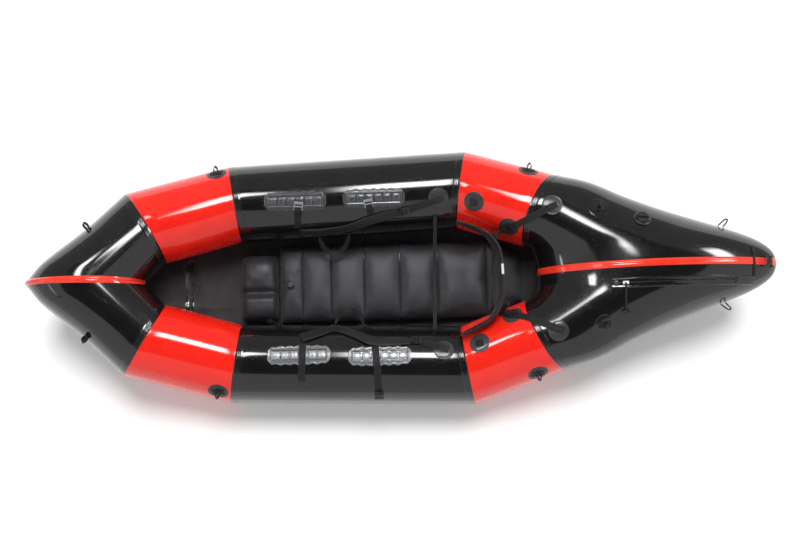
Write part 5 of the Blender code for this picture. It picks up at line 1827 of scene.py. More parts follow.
    def rear(self, where: str, side: int, back: "Backrest") -> None:
        """The webbing from the backrest to a rear lock, its lock, and the anchor behind it.

        Args:
            where: The side's name.
            side: 1 for starboard and -1 for port.
            back: The backrest.
        """
        front, rear = self.anchors.inner_seats(side, plain=True)[2:]
        seat = Seat(front.place + front.up * (self.gap + 0.0010), front.up, rear.place - front.place)
        length = self.bar * 2 + self.slot * 2 + self.lip
        seat = Seat(seat.at(along=-length / 2), seat.up, seat.along)
        MAKER.kept(f"rear_lock_{where}", BLACK_MOULDING)
        self.tail(f"rear_anchor_{where}", seat, rear)
        loop = self.looped_end(seat)
        first = loop[0][0]
        start, out = back.strap_end(side)
        clear = seat.at(along=-0.022, up=0.006)
        lead = out * 0.011
        ends = (first - seat.along * (self.bar * 2), first, first + seat.along * self.bar)
        knots = [start - lead, start, start + lead, clear, *ends]
        air = [(curve_point(knots, i / 48), mixed(UP, seat.up, min(i / 24, 1.0))) for i in range(48)]
        name = f"rear_strap_{where}"
        sheet = strip(air + loop, WEBBING_WIDTH, WEBBING_THICK, WEBBING_FULLNESS)
        obj = MAKER.piece(name + "_webbing", sheet, BLACK_WEBBING, replaces=[name], ride=False)
        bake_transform(obj)

    def grab(self, where: str, side: int) -> None:
        """A webbing handle that reaches from the tube into the cockpit.

        Args:
            where: The side's name.
            side: 1 for starboard and -1 for port.
        """
        x1, angle1, x2, angle2, reach = self.grabs[where]
        feet = [self.hull.tube(x, angle, side, plain=True) for x, angle in ((x1, angle1), (x2, angle2))]
        ends = [place + normal * 0.004 for place, normal in feet]
        out = (feet[0][1] + feet[1][1]).normalized()
        middle, across = (ends[0] + ends[1]) / 2, (ends[1] - ends[0]) / 2
        top = Vector(((x1 + x2) / 2 + self.hull.form.shift, reach * side, self.grab_level)) - middle
        ahead = out * top.dot(out)
        stations = []
        for i in range(57):
            turn = math.pi * i / 56
            reached = ahead * math.sin(turn) + (top - ahead) * math.sin(turn) ** 2
            plain = reached / top.length - across * math.cos(turn) / across.length
            level = 0.86 * math.sin(turn) ** 0.5 if 0 < i < 56 else 0.0
            stations.append((middle - across * math.cos(turn) + reached, mixed(plain.normalized(), UP, level)))
        ups = (stations[0][1], stations[-1][1])
        first, last = ((place + normal * 0.0006, up) for (place, normal), up in zip(feet, ups))
        name = f"grab_loop_{where}"
        self.strap(name + "_webbing", [first, *stations, last], 0.018, 0.0018, node=name)
        for i, (place, normal) in enumerate(feet):
            self.strap(f"grab_foot_{where}_{i}", self.short(Seat(place, normal, across), 0.0022), 0.022, 0.0022)

    def cross(self) -> None:
        """The thin strap that lies across the cockpit over the mat."""
        (start, first_up), (end, last_up) = (
            self.hull.tube(x, angle, side, True) for (x, angle), (_, side) in zip(self.cross_ends, SIDES)
        )
        sagging = [mixed(start, end, share) - UP * drop for share, drop in self.cross_sag]
        stations = []
        for i, place in enumerate(smooth_run([start + first_up * 0.0012, *sagging, end + last_up * 0.0012], 60)):
            up = mixed(first_up, UP, min(i / 12, 1.0)) if i < 30 else mixed(UP, last_up, max((i - 48) / 12, 0.0))
            stations.append((place, up))
        self.strap("cross_strap", stations, 0.013, 0.0014)

    def label(self) -> None:
        """The blank white label beside the port strap."""
        seat = self.hull.seat(*self.label_place, -1)
        self.strap("blank_label_port", self.short(seat, 0.0008), 0.016, 0.0008, WHITE_LABEL)

    def build(self, back: "Backrest") -> None:
        """Makes all the straps of both sides.

        Args:
            back: The backrest, which holds the rear straps.
        """
        for where, side in SIDES:
            self.thigh(where, side)
            self.rear(where, side, back)
            self.grab(where, side)
        for where, marks in self.chains.items():
            self.chain(where, marks)
        self.cross()
        self.label()


@dataclass
class Inflation:
    """A cloth simulation in which pressure puffs a closed mesh out between the seams that hold it."""

    pressure: float = 4.0
    frames: int = 20
    cap: float = 0.005
    growth: float = 0.012

    def puff(self, mesh: bpy.types.Mesh, held: Sequence[float]) -> None:
        """Puffs a mesh out in place, never downwards.

        Args:
            mesh: A closed mesh in the row frame.
            held: How firmly each point is held, from 0 to 1.
        """
        scene = bpy.context.scene
        obj = placed("puffing", mesh.copy())
        group = obj.vertex_groups.new(name="seams")
        for i, hold in enumerate(held):
            if hold > 0:
                group.add([i], min(hold, 1.0), "REPLACE")
        cloth = obj.modifiers.new("cloth", "CLOTH").settings
        cloth.quality, cloth.mass, cloth.use_pressure = 5, 0.2, True
        cloth.uniform_pressure_force = self.pressure
        cloth.vertex_group_mass = group.name
        cloth.shrink_min = -self.growth
        cloth.effector_weights.gravity = 0.0
        for number in range(1, self.frames + 1):
            scene.frame_set(number)
        puffed = obj.evaluated_get(bpy.context.evaluated_depsgraph_get())
        for vertex, moved in zip(mesh.vertices, puffed.data.vertices):
            step = moved.co - vertex.co
            if step.length > self.cap:
                step *= self.cap / step.length
            step.z = max(step.z, 0.0)
            vertex.co += step
        bpy.data.objects.remove(obj)
        scene.frame_set(1)


@dataclass
class FloorSheet:
    """The floor's fabric, stretched from tube to tube, with its cross tape."""

    form: HullForm
    thick: float = 0.0012
    clearance: float = 0.0005
    stern_drop: float = 0.002
    bow_share: float = 0.82
    columns: int = 48
    steps: int = 26
    wrinkle: float = 0.0065
    crease: Pair = (-0.070, 0.007)
    bare: Pair = (-0.62, 0.52)
    bare_fade: float = 0.05
    tape: Pair = (-0.805, -0.776)

    def __post_init__(self) -> None:
        """Finds the rows of points that the floor is stretched over."""
        form = self.form
        lows = [self.low_point(cut) for ends in form.cuts for cut in ends]
        edges = [
            mixed(lows[1], lows[0], self.bow_share), (lows[1] + lows[2]) / 2,
            (lows[3] + lows[4]) / 2, (lows[5] + lows[6]) / 2,
        ]
        shares = [2 * j / self.columns - 1 for j in range(self.columns + 1)]
        rows = [[Vector((edge.x, edge.y * out, edge.z)) for out in shares] for edge in edges]
        last = []
        for out in shares:
            if abs(out) == 1:
                low = lows[7].copy()
            else:
                low = min(form.stern_ring(1 - abs(out), 96), key=lambda point: point.z).copy()
                low.z -= self.stern_drop
            low.y = math.copysign(low.y, out) if out else 0.0
            last.append(low)
        rows.append(last)
        for row in rows:
            for point in row:
                point.x += form.shift
        self.knots = rows

    def low_point(self, cut: Cut) -> Vector:
        """The place just under the tube at one of its seams.

        Args:
            cut: The seam's plane.

        Returns:
            The place.
        """
        down = Vector((cut.along.z, 0, -cut.along.x)).normalized()
        down -= cut.along * (down.dot(cut.normal) / cut.along.dot(cut.normal))
        return cut.centre + down * (self.form.radius + self.clearance)

    def height(self, x: float) -> float:
        """The floor's highest level across the raft at this place along it.

        Args:
            x: The place along the raft.

        Returns:
            The level in metres.
        """
        best = 0.0
        for j in range(self.columns + 1):
            for before, after in zip(self.knots, self.knots[1:]):
                a, b = before[j], after[j]
                if a.x <= x <= b.x:
                    best = max(best, mixed(a.z, b.z, (x - a.x) / max(b.x - a.x, 1e-9)))
        return best

    def fold(self, point: Vector, across: float) -> float:
        """How far the slack fabric stands up in folds, where neither mat nor backrest covers it.

        Args:
            point: The place on the plain floor.
            across: How far out it lies, from -1 to 1.

        Returns:
            The rise in metres.
        """
        start, end = self.bare
        bare = max(eased((start - point.x) / self.bare_fade), eased((point.x - end) / self.bare_fade))
        inner = eased((1 - abs(across)) / 0.4)
        folds = (1 - abs(noise.noise(Vector((point.x * 11, point.y * 5, 3.1))))) ** 5
        middle, width = self.crease
        wander = noise.noise(Vector((point.x * 6, 0.4, 7.7))) * 0.012
        folds += 0.6 * math.exp(-(((point.y - middle - wander) / width) ** 2))
        return self.wrinkle * bare * inner * folds

    def build(self) -> None:
        """Makes the floor and its tape."""
        rows = []
        for before, after in zip(self.knots, self.knots[1:]):
            for i in range(self.steps + (after is self.knots[-1])):
                rows.append([mixed(a, b, i / self.steps) for a, b in zip(before, after)])
        over = [
            [point + UP * self.fold(point, 2 * j / self.columns - 1) for j, point in enumerate(row)] for row in rows
        ]
        sheet = Sheet()
        sheet.rows(over)
        sheet.lie = [(point.x, point.y, 0.0) for point in sheet.points]
        mesh = sheet.mesh("floor_cloth")
        floor = MAKER.piece("floor_cloth", mesh, FLOOR_CLOTH, replaces=["floor_sheet"], sharp=80)
        if mesh.polygons[0].normal.z < 0:
            mesh.flip_normals()
        thickened(floor, self.thick)
        self.cross_tape(over)

    def cross_tape(self, over: Sequence[Sequence[Vector]]) -> None:
        """The welded tape across the floor near the bow.

        Args:
            over: The floor's rows of points.
        """
        start, end = (x + self.form.shift for x in self.tape)
        sheet = Sheet()
        rows = []
        for i in range(9):
            x = mixed(start, end, i / 8)
            before, after = next((a, b) for a, b in zip(over, over[1:]) if a[0].x <= x <= b[0].x)
            share = (x - before[0].x) / (after[0].x - before[0].x)
            ridge = 0.0008 if i in (2, 4, 6) else 0.0
            rows.append([mixed(a, b, share) + UP * (0.0007 + ridge) for a, b in zip(before[4:-4], after[4:-4])])
        sheet.rows(rows)
        MAKER.piece("floor_tape", sheet, SEAM_TAPE, sharp=80)


@dataclass
class Backrest:
    """The foam backrest: a bent pad on the mat, its piped top edge and a blank label."""

    shift: float
    place: float = 0.354
    off_centre: float = -0.020
    depth: float = 0.147
    half_width: float = 0.200
    thick: float = 0.014
    top: float = 0.335
    corner_drop: float = 0.045
    wing_foot: float = 0.262
    lean: float = 0.012
    foot: float = 0.113861
    ease: Pair = (0.25, 0.50)
    edge_share: float = 0.25
    spread: float = 1.25
    piping: float = 0.0035
    rows: int = 36
    columns: int = 96
    strap: Pair = (0.112, 0.72)
    label_size: Pair = (0.036, 0.0007)

    def across(self, j: int) -> float:
        """The place across the pad of its column j, from -1 to 1."""
        return math.sin(self.spread * (2 * j / self.columns - 1)) / math.sin(self.spread)

    def out(self, across: float) -> Vector:
        """The way off the pad's stern face."""
        return Vector((1, 4 * self.depth * across**3 / self.half_width, 0)).normalized()

    def middle(self, across: float, share: float) -> Vector:
        """The middle of the pad's thickness.

        Args:
            across: From -1, port, to 1.
            share: From 0, at its foot, to 1.

        Returns:
            The place.
        """
        start, reach = self.ease
        low = mixed(self.foot - self.thick / 2, self.wing_foot, eased((abs(across) - start) / reach))
        high = self.top - self.corner_drop * across**4
        z = mixed(low, high, share)
        lean = self.lean * (1 - (z - self.foot) / (self.top - self.foot))
        x = self.place - self.depth * across**4 - lean + self.shift
        return Vector((x, self.off_centre + self.half_width * across, z))

    def strap_end(self, side: int) -> Station:
        """Where a rear strap leaves the pad, and the way off it.

        Args:
            side: 1 for starboard and -1 for port.

        Returns:
            The place and the way.
        """
        out, share = self.strap
        across = (out * side - self.off_centre) / self.half_width
        way = self.out(across)
        return self.middle(across, share) + way * (self.thick / 2 + 0.003), way

    def build(self) -> None:
        """Makes the pad, its piping, its stitching and its label."""
        sheet = Sheet()
        rows, held = [], []
        count = (self.columns + 1) * 2
        for i in range(self.rows + 1):
            share = (1 - math.cos(math.pi * i / self.rows)) / 2
            half = self.thick / 2 * max(math.sqrt(max(1 - (2 * share - 1) ** 6, 0.0)), self.edge_share)
            faces = []
            for side in (1, -1):
                row = []
                for j in range(self.columns + 1):
                    across = self.across(j)
                    end = mixed(self.edge_share, 1, math.sqrt(max(1 - abs(across) ** 24, 0.0)))
                    row.append(self.middle(across, share) + self.out(across) * (half * end * side))
                faces.append(row)
            rows.append(faces[0] + faces[1][::-1])
            for j in range(count):
                column = min(j, count - 1 - j)
                edge = min(i, self.rows - i, column, self.columns - column)
                held.append(1.0 if edge < 1 else 0.6 * math.exp(-edge / 2))
        sheet.pad(rows)
        mesh = sheet.mesh("backrest")
        Inflation(cap=0.0022, growth=0.010).puff(mesh, held)
        pad = MAKER.piece("backrest_cover", mesh, PADDING_CLOTH, Body.BACKREST, ["backrest_pad"], sharp=55)
        piping = rod([self.piping_place(self.across(j)) for j in range(self.columns + 1)], self.piping, 16)
        MAKER.piece("backrest_piping_cord", piping, STRAP_CLOTH, Body.BACKREST, ["backrest_piping"])
        for name, side in (("bow", -1), ("stern", 1)):
            seam = []
            for j in range(2, self.columns - 1, 2):
                across = self.across(j)
                way = self.out(across) * side
                seam.append((self.middle(across, 0.965) + way * (self.thick / 2 * 0.62), way))
            MAKER.piece(f"backrest_seam_{name}", stitches(seam, 0.0, 0.0045), STITCHING, Body.BACKREST)
        self.label()

    def piping_place(self, across: float) -> Vector:
        """The middle of the piping, on the pad's top edge."""
        return self.middle(across, 1) + UP * (self.piping + 0.0006)

    def label(self) -> None:
        """The blank label, folded over the piping."""
        across = -self.off_centre / self.half_width
        top, way = self.piping_place(across), self.out(across)
        width, thick = self.label_size
        stations = []
        for i in range(17):
            turn = mixed(-0.2, 1.2, i / 16) * math.pi
            out = way * math.cos(turn) + UP * math.sin(turn)
            stations.append((top + out * (self.piping + thick), out))
        MAKER.piece("blank_label_backrest", strip(stations, width, thick, 9.0), WHITE_LABEL, Body.BACKREST)


@dataclass
class SeatMat:
    """The inflated mat: welded chambers across it and a narrow tail under the backrest."""

    floor: FloorSheet
    front: float = -0.448
    chambers: tuple[float, ...] = (0.085, 0.107, 0.122, 0.133, 0.141, 0.178, 0.130)
    half_width: float = 0.148
    groove_half: float = 0.140
    height: float = 0.092
    seam_share: float = 0.42
    groove_depth: float = 0.022
    end_height: float = 0.030
    tail_half: float = 0.092
    tail_height: float = 0.058
    steps: int = 26
    columns: int = 72
    valve: Pair = (-0.405, -0.005)
    pucker_reach: float = 0.09

    def stations(self) -> list[tuple[float, float, float, float]]:
        """Where each section stands, its height, its half width and how near it is to a weld.

        Returns:
            A place along X, a height, a half width and a nearness from 0 to 1 for each section.
        """
        found = []
        x = self.front
        last = len(self.chambers) - 1
        for k, length in enumerate(self.chambers):
            for i in range(self.steps + 1 if k == last else self.steps):
                turn = math.pi * i / self.steps
                share, swell = (1 - math.cos(turn)) / 2, max(math.sin(turn), 0.0) ** 0.8
                tail = share if k == last else 0.0
                crown = mixed(self.height, self.tail_height, eased(tail))
                outer = (k == 0 and share < 0.5) or (k == last and share > 0.5)
                groove = self.end_height if outer else crown - self.groove_depth
                half = mixed(mixed(self.half_width, self.groove_half, swell), self.tail_half, eased(tail))
                found.append((x + length * share, mixed(groove, crown, swell), half, 1 - swell))
            x += length
        return found

    def pucker(self, x: float, y: float) -> float:
        """The radial folds round the mat's valve.

        Args:
            x: The place along X.
            y: The place along Y.

        Returns:
            The rise in metres, which is never above 0.
        """
        dx, dy = x - self.valve[0], y - self.valve[1]
        gap, turn = math.hypot(dx, dy), math.atan2(dy, dx)
        if gap > self.pucker_reach:
            return 0.0
        folds = noise.noise(Vector((math.cos(turn) * 3.2, math.sin(turn) * 3.2, 9.0)))
        return -0.0035 * abs(folds) * eased((gap - 0.012) / 0.02) * eased((self.pucker_reach - gap) / 0.05)

    def weld_folds(self, x: float, y: float, near: float) -> float:
        """The short creases that run off a weld."""
        waves = noise.noise(Vector((y * 34, x * 6, 1.7)))
        return 0.0022 * waves * near * (1 - near) * 4 * 0.5

    def build(self) -> None:
        """Makes the mat."""
        sheet = Sheet()
        rows, held = [], []
        shift = self.floor.form.shift
        for x, height, half, weld in self.stations():
            base = self.floor.height(x + shift) + 0.0003
            seam = base + height * self.seam_share
            top, low = [], []
            for j in range(self.columns + 1):
                across = -math.cos(math.pi * j / self.columns)
                crown = max(1 - abs(across) ** mixed(2.6, 7.0, weld), 0.0) ** 0.5
                y = across * half
                high = seam + 0.001 + height * (1 - self.seam_share) * crown
                high += (self.pucker(x, y) + self.weld_folds(x, y, weld)) * crown
                top.append(Vector((x + shift, y, high)))
                low.append(Vector((x + shift, y, mixed(seam - 0.001, base, math.sqrt(max(1 - across**12, 0.0))))))
                held.append(max(1.0 if weld > 0.97 or abs(across) > 0.995 else 0.0, 0.5 * weld**3))
            held += [1.0] * (self.columns + 1)
            rows.append(top + low[::-1])
            sheet.lie += [(point.x, point.y, 0.0) for point in rows[-1]]
        sheet.pad(rows)
        mesh = sheet.mesh("seat_mat")
        Inflation(cap=0.0040, growth=0.016).puff(mesh, held)
        mat = MAKER.piece("seat_mat_cover", mesh, MAT_CLOTH, replaces=["seat_mat"], sharp=60)
        for k in range(1, len(self.chambers)):
            row = rows[k * self.steps][: self.columns + 1]
            path = [(point + UP * 0.0004, UP) for point in row[4:-4:2]]
            MAKER.piece(f"mat_weld_{k}", strip(path, 0.005, 0.0008, 6.0), SEAM_TAPE)


@dataclass
class FootCushion:
    """The foot cushion: a soft block with a fold across its top, and a clip at its corner."""

    shift: float
    front: float = -0.590
    length: float = 0.134
    sides: Pair = (-0.132, 0.112)
    height: float = 0.105
    fold: Mark = (-0.030, 0.022, 0.016)
    draw: float = 0.06
    base: float = 0.0015
    seam_share: float = 0.42
    rows: int = 44
    columns: int = 76
    clip_line: tuple[Mark, ...] = (
        (-0.520, -0.118, 0.030), (-0.500, -0.129, 0.022), (-0.482, -0.137, 0.014), (-0.462, -0.144, 0.004),
    )
    clip_up: Mark = (0, -0.5, 0.86)

    def spot(self, along: float, across: float) -> tuple[float, float]:
        """Where a place on the block lies, from -1 to 1 both ways.

        Args:
            along: From -1, the bow's end, to 1.
            across: From -1, port, to 1.

        Returns:
            Its X and Y.
        """
        start, end = self.sides
        middle = (start + end) / 2
        x = self.front + self.length / 2 * (1 + along * (1 - self.draw * across**4)) + self.shift
        y = mixed(middle + across * (end - start) / 2, middle, self.draw * along**4)
        return x, y

    def build(self) -> None:
        """Makes the block, the cord round its seam and its clip."""
        sheet = Sheet()
        rows, held = [], []
        place, depth, width = self.fold
        seam = self.base + self.height * self.seam_share
        for i in range(self.rows + 1):
            along = -math.cos(math.pi * i / self.rows)
            top, low = [], []
            for j in range(self.columns + 1):
                across = -math.cos(math.pi * j / self.columns)
                x, y = self.spot(along, across)
                crown = math.sqrt(max((1 - across**6) * (1 - along**4), 0.0))
                fold = math.exp(-(((y - place) / width) ** 2)) * depth
                crease = noise.noise(Vector((x * 24, y * 17, 5.5))) * 0.0035 - 0.0020
                fine = noise.noise(Vector((x * 60, y * 45, 1.5))) * 0.0012
                full = self.height * (1 - self.seam_share) - fold + crease + fine
                top.append(Vector((x, y, seam + 0.001 + full * crown)))
                flat = math.sqrt(max((1 - across**12) * (1 - along**12), 0.0))
                low.append(Vector((x, y, mixed(seam - 0.001, self.base, flat))))
                edge = i in (0, self.rows) or j in (0, self.columns)
                held.append(1.0 if edge else 0.4 * math.exp(-(((y - place) / (width * 0.5)) ** 2)))
            held += [1.0] * (self.columns + 1)
            rows.append(top + low[::-1])
        sheet.pad(rows)
        mesh = sheet.mesh("foot_cushion")
        Inflation(cap=0.0045, growth=0.022).puff(mesh, held)
        block = MAKER.piece("foot_cushion_cover", mesh, CUSHION_CLOTH, replaces=["foot_cushion"], sharp=60)
        wide, long = ([-math.cos(math.pi * j / count) for j in range(count)] for count in (40, 30))
        edge = [(-1, a) for a in wide] + [(a, 1) for a in long] + [(1, -a) for a in wide] + [(-a, -1) for a in long]
        line = [Vector((*self.spot(along, across), seam)) for along, across in edge]
        MAKER.piece("foot_cushion_seam", rod(line, 0.0016, 10, True), STRAP_CLOTH)
        self.clip(seam)

    def clip(self, seam: float) -> None:
        """The small strap with its clip on the port corner, over the seam's level.

        Args:
            seam: The seam's level.
        """
        knots = [Vector((x + self.shift, y, seam + z)) for x, y, z in self.clip_line]
        up = Vector(self.clip_up)
        stations = [(place, up) for place in smooth_run(knots, 18)]
        MAKER.piece("cushion_clip_strap", strip(stations, 0.014, WEBBING_THICK, WEBBING_FULLNESS), BLACK_WEBBING)
        clip = strip([(place + up * 0.0025, up) for place, _ in stations[6:14]], 0.017, 0.005)
        rounded(MAKER.piece("cushion_clip", clip, BLACK_MOULDING), SOFT_EDGE)


@dataclass
class MatValve:
    """The mat's small twist valve."""

    shift: float
    place: Pair = (-0.405, -0.005)
    knob_foot: float = 0.097897
    base_height: float = 0.0043
    base: tuple[Pair, ...] = (
        (0.0, 0.0), (0.0207, 0.0), (0.021, 0.0003), (0.021, 0.0009), (0.0205, 0.00125), (0.0165, 0.0014),
        (0.0158, 0.0018), (0.0155, 0.0034), (0.0149, 0.0040), (0.0, 0.0040),
    )
    knob: tuple[tuple[float, float, int], ...] = (
        (0.0124, 0.0, 0), (0.0125, 0.0006, 0), (0.0125, 0.0012, 1), (0.0119, 0.0078, 1),
        (0.0114, 0.0090, 0), (0.0100, 0.0099, 0), (0.0085, 0.0100, 0), (0.0080, 0.0092, 0),
    )
    rib: float = 0.0005

    def build(self) -> None:
        """Makes its flanged base and its ribbed knob."""
        x, y = self.place
        seat = Seat(Vector((x + self.shift, y, self.knob_foot - self.base_height)), UP, FORWARD)
        base = turned(self.base, seat)
        MAKER.piece("mat_valve_flange", base, BLACK_MOULDING, replaces=["mat_valve_base"], sharp=50)
        raised = seat.raised(self.base_height)
        knob = Sheet()
        rows = []
        for radius, height, ribbed in self.knob:
            row = []
            for k, turn in enumerate(turns(96)):
                reach = radius - self.rib * ribbed * (k // 3 % 2)
                row.append(raised.at(reach * math.cos(turn), reach * math.sin(turn), height))
            rows.append(row)
        knob.rows(rows, round_rows=True, capped=True)
        MAKER.piece("mat_valve_grip", knob, BLACK_MOULDING, Body.MAT_KNOB, ["mat_valve_knob"], sharp=40)


@dataclass
class MainValve:
    """The stern's big valve: a flange welded in and a cap with a grip bar."""

    hull: Hull
    place: Pair = (0.842, 0.158)
    bore: float = 0.019
    flange: float = 0.032
    rise: float = 0.0045
    seat_gap: float = 0.0003
    lid_gap: float = 0.0007
    lid: tuple[Pair, ...] = (
        (0.0, -0.0042), (0.0180, -0.0042), (0.0182, -0.0038), (0.0182, 0.0), (0.0231, 0.0), (0.0235, 0.0005),
        (0.0235, 0.0050), (0.0228, 0.0064), (0.0218, 0.0070), (0.0196, 0.0070), (0.0188, 0.0062), (0.0, 0.0058),
    )
    grip_level: float = 0.0082
    grip: tuple[Mark, ...] = (
        (0.0, 0.0066, 0.0096), (0.009, 0.0072, 0.0096), (0.017, 0.0088, 0.0096), (0.0188, 0.0075, 0.0092),
        (0.0192, 0.005, 0.0085),
    )

    def build(self) -> None:
        """Makes the ring and its cap."""
        start = self.hull.top_seat(*self.place).at(up=self.seat_gap) + UP
        spot, up, _, _ = self.hull.guide.ray_cast(start, -UP)
        seat = Seat(spot, up, FORWARD).raised(self.seat_gap)
        bore, flange, rise = self.bore, self.flange, self.rise
        profile = (
            (bore, 0.0), (flange - 0.0004, 0.0), (flange, 0.0004), (flange - 0.0004, 0.0010), (0.0285, 0.0014),
            (0.0272, 0.0022), (0.0262, 0.0040), (0.0252, rise), (bore + 0.0006, rise), (bore, rise - 0.0006),
        )
        MAKER.piece("main_valve_ring", turned(profile, seat), BLACK_MOULDING, replaces=["main_valve_base"], sharp=45)
        cap_seat = seat.raised(rise + self.lid_gap)
        cap = turned(self.lid, cap_seat)
        grip = [(-out, width, thick) for out, width, thick in self.grip[:0:-1]] + list(self.grip)
        outs, widths, thicks = zip(*grip)
        cap.join(strip([(cap_seat.at(out, 0, self.grip_level), cap_seat.up) for out in outs], widths, thicks))
        MAKER.piece("main_valve_lid", cap, BLACK_MOULDING, Body.VALVE_CAP, ["main_valve_cap"], sharp=45)


@dataclass
class Zipper:
    """The stern's airtight zipper: its tape, its chain of teeth, the end stops, the slider and its pull."""

    hull: Hull
    y: float = -0.066
    ends: Pair = (0.742, 1.150)
    tape_ends: Pair = (0.722, 1.222)
    centre: Pair = (0.917477, -0.401276)
    radius: float = 0.804543
    width: float = 0.036
    pitch: float = 0.0026
    profile: tuple[Pair, ...] = (
        (0.0, 0.0010), (0.3, 0.0009), (0.72, 0.0008), (0.76, 0.0012), (0.80, 0.0008), (0.94, 0.0007), (1.0, 0.0001),
    )
    tooth: tuple[Pair, ...] = ((-0.0008, 0.0017), (-0.0005, 0.0021), (0.0005, 0.0021), (0.0008, 0.0017))
    stop: tuple[Mark, ...] = (
        (-0.0072, 0.014, 0.002), (-0.0066, 0.017, 0.0032), (-0.004, 0.018, 0.0036),
        (0.004, 0.018, 0.0036), (0.0066, 0.017, 0.0032), (0.0072, 0.014, 0.002),
    )

    def arc(self, x: float) -> Vector:
        """The chain's place above this place along the raft."""
        across = x - self.centre[0]
        return Vector((x + self.hull.form.shift, self.y, self.centre[1] + math.sqrt(self.radius**2 - across**2)))

    def build(self) -> None:
        """Makes the tape, the teeth and the stops, and dresses the slider and its pull."""
        shift = self.hull.form.shift
        path = [self.hull.above(mixed(*self.tape_ends, i / 90) + shift, self.y) for i in range(91)]
        tape = laid(self.hull, path, self.width, symmetric(self.profile), 0.0003)
        MAKER.piece("zipper_band", tape, SEAM_TAPE, replaces=["zipper_tape"], sharp=70)
        start, end = self.ends
        chain = rod([self.arc(mixed(start, end, i / 80)) for i in range(81)], 0.0014, 10)
        for i in range(round((end - start) / self.pitch)):
            before, middle, after = (self.arc(start + (i + part) * self.pitch) for part in (0.1, 0.5, 0.9))
            way = (after - before).normalized()
            chain.join(rod([middle + way * out for out, _ in self.tooth], [radius for _, radius in self.tooth], 10))
        MAKER.piece("zipper_teeth", chain, BLACK_MOULDING, replaces=["zipper_chain"], sharp=50)
        outs, widths, thicks = zip(*self.stop)
        for name, x in (("bow", start - 0.006), ("stern", end + 0.006)):
            seat = Seat(*self.hull.above(x + shift, self.y), FORWARD).raised(0.0028)
            stop = strip([(seat.at(out), seat.up) for out in outs], widths, thicks, 4.0)
            MAKER.piece(f"zipper_stop_{name}", stop, BLACK_MOULDING, sharp=50)
        # the slider's near-white finish paints its shine
        for node, finish in (("zipper_slider", METAL_PAINTED_SHINE), ("zipper_pull", BLACK_MOULDING)):
            MAKER.kept(node, finish, 0.0004)


@dataclass
class SternCords:
    """Two short loops of cord, sewn beside the stern's tip."""

    hull: Hull
    places: tuple[tuple[float, float, int], ...] = ((1.142, 0.135, 1), (1.132, -0.140, -1))
    level: float = 0.285
    reach: float = 0.030
    spread: float = 0.010
    radius: float = 0.0024
    line: tuple[Mark, ...] = (
        (1.4, -0.2, 0.0), (1.1, 0.0, 0.25), (0.2, 0.25, 0.8), (-0.6, 0.35, 1.0), (-1.0, 0.2, 0.75), (-0.6, -0.1, 0.25),
        (-0.4, -0.3, 0.0),
    )

    def build(self) -> None:
        """Makes both loops."""
        for i, (x, y, side) in enumerate(self.places):
            foot, out = self.hull.near(Vector((x + self.hull.form.shift, y, self.level)))
            seat = Seat(foot, out, FORWARD).raised(self.radius)
            knots = [seat.at(a * self.spread, b * self.spread * side, up * self.reach) for a, b, up in self.line]
            places = smooth_run(knots, 48)
            cord = MAKER.piece(f"stern_cord_{i}", rod(places, self.radius, 16), STRAP_CLOTH)


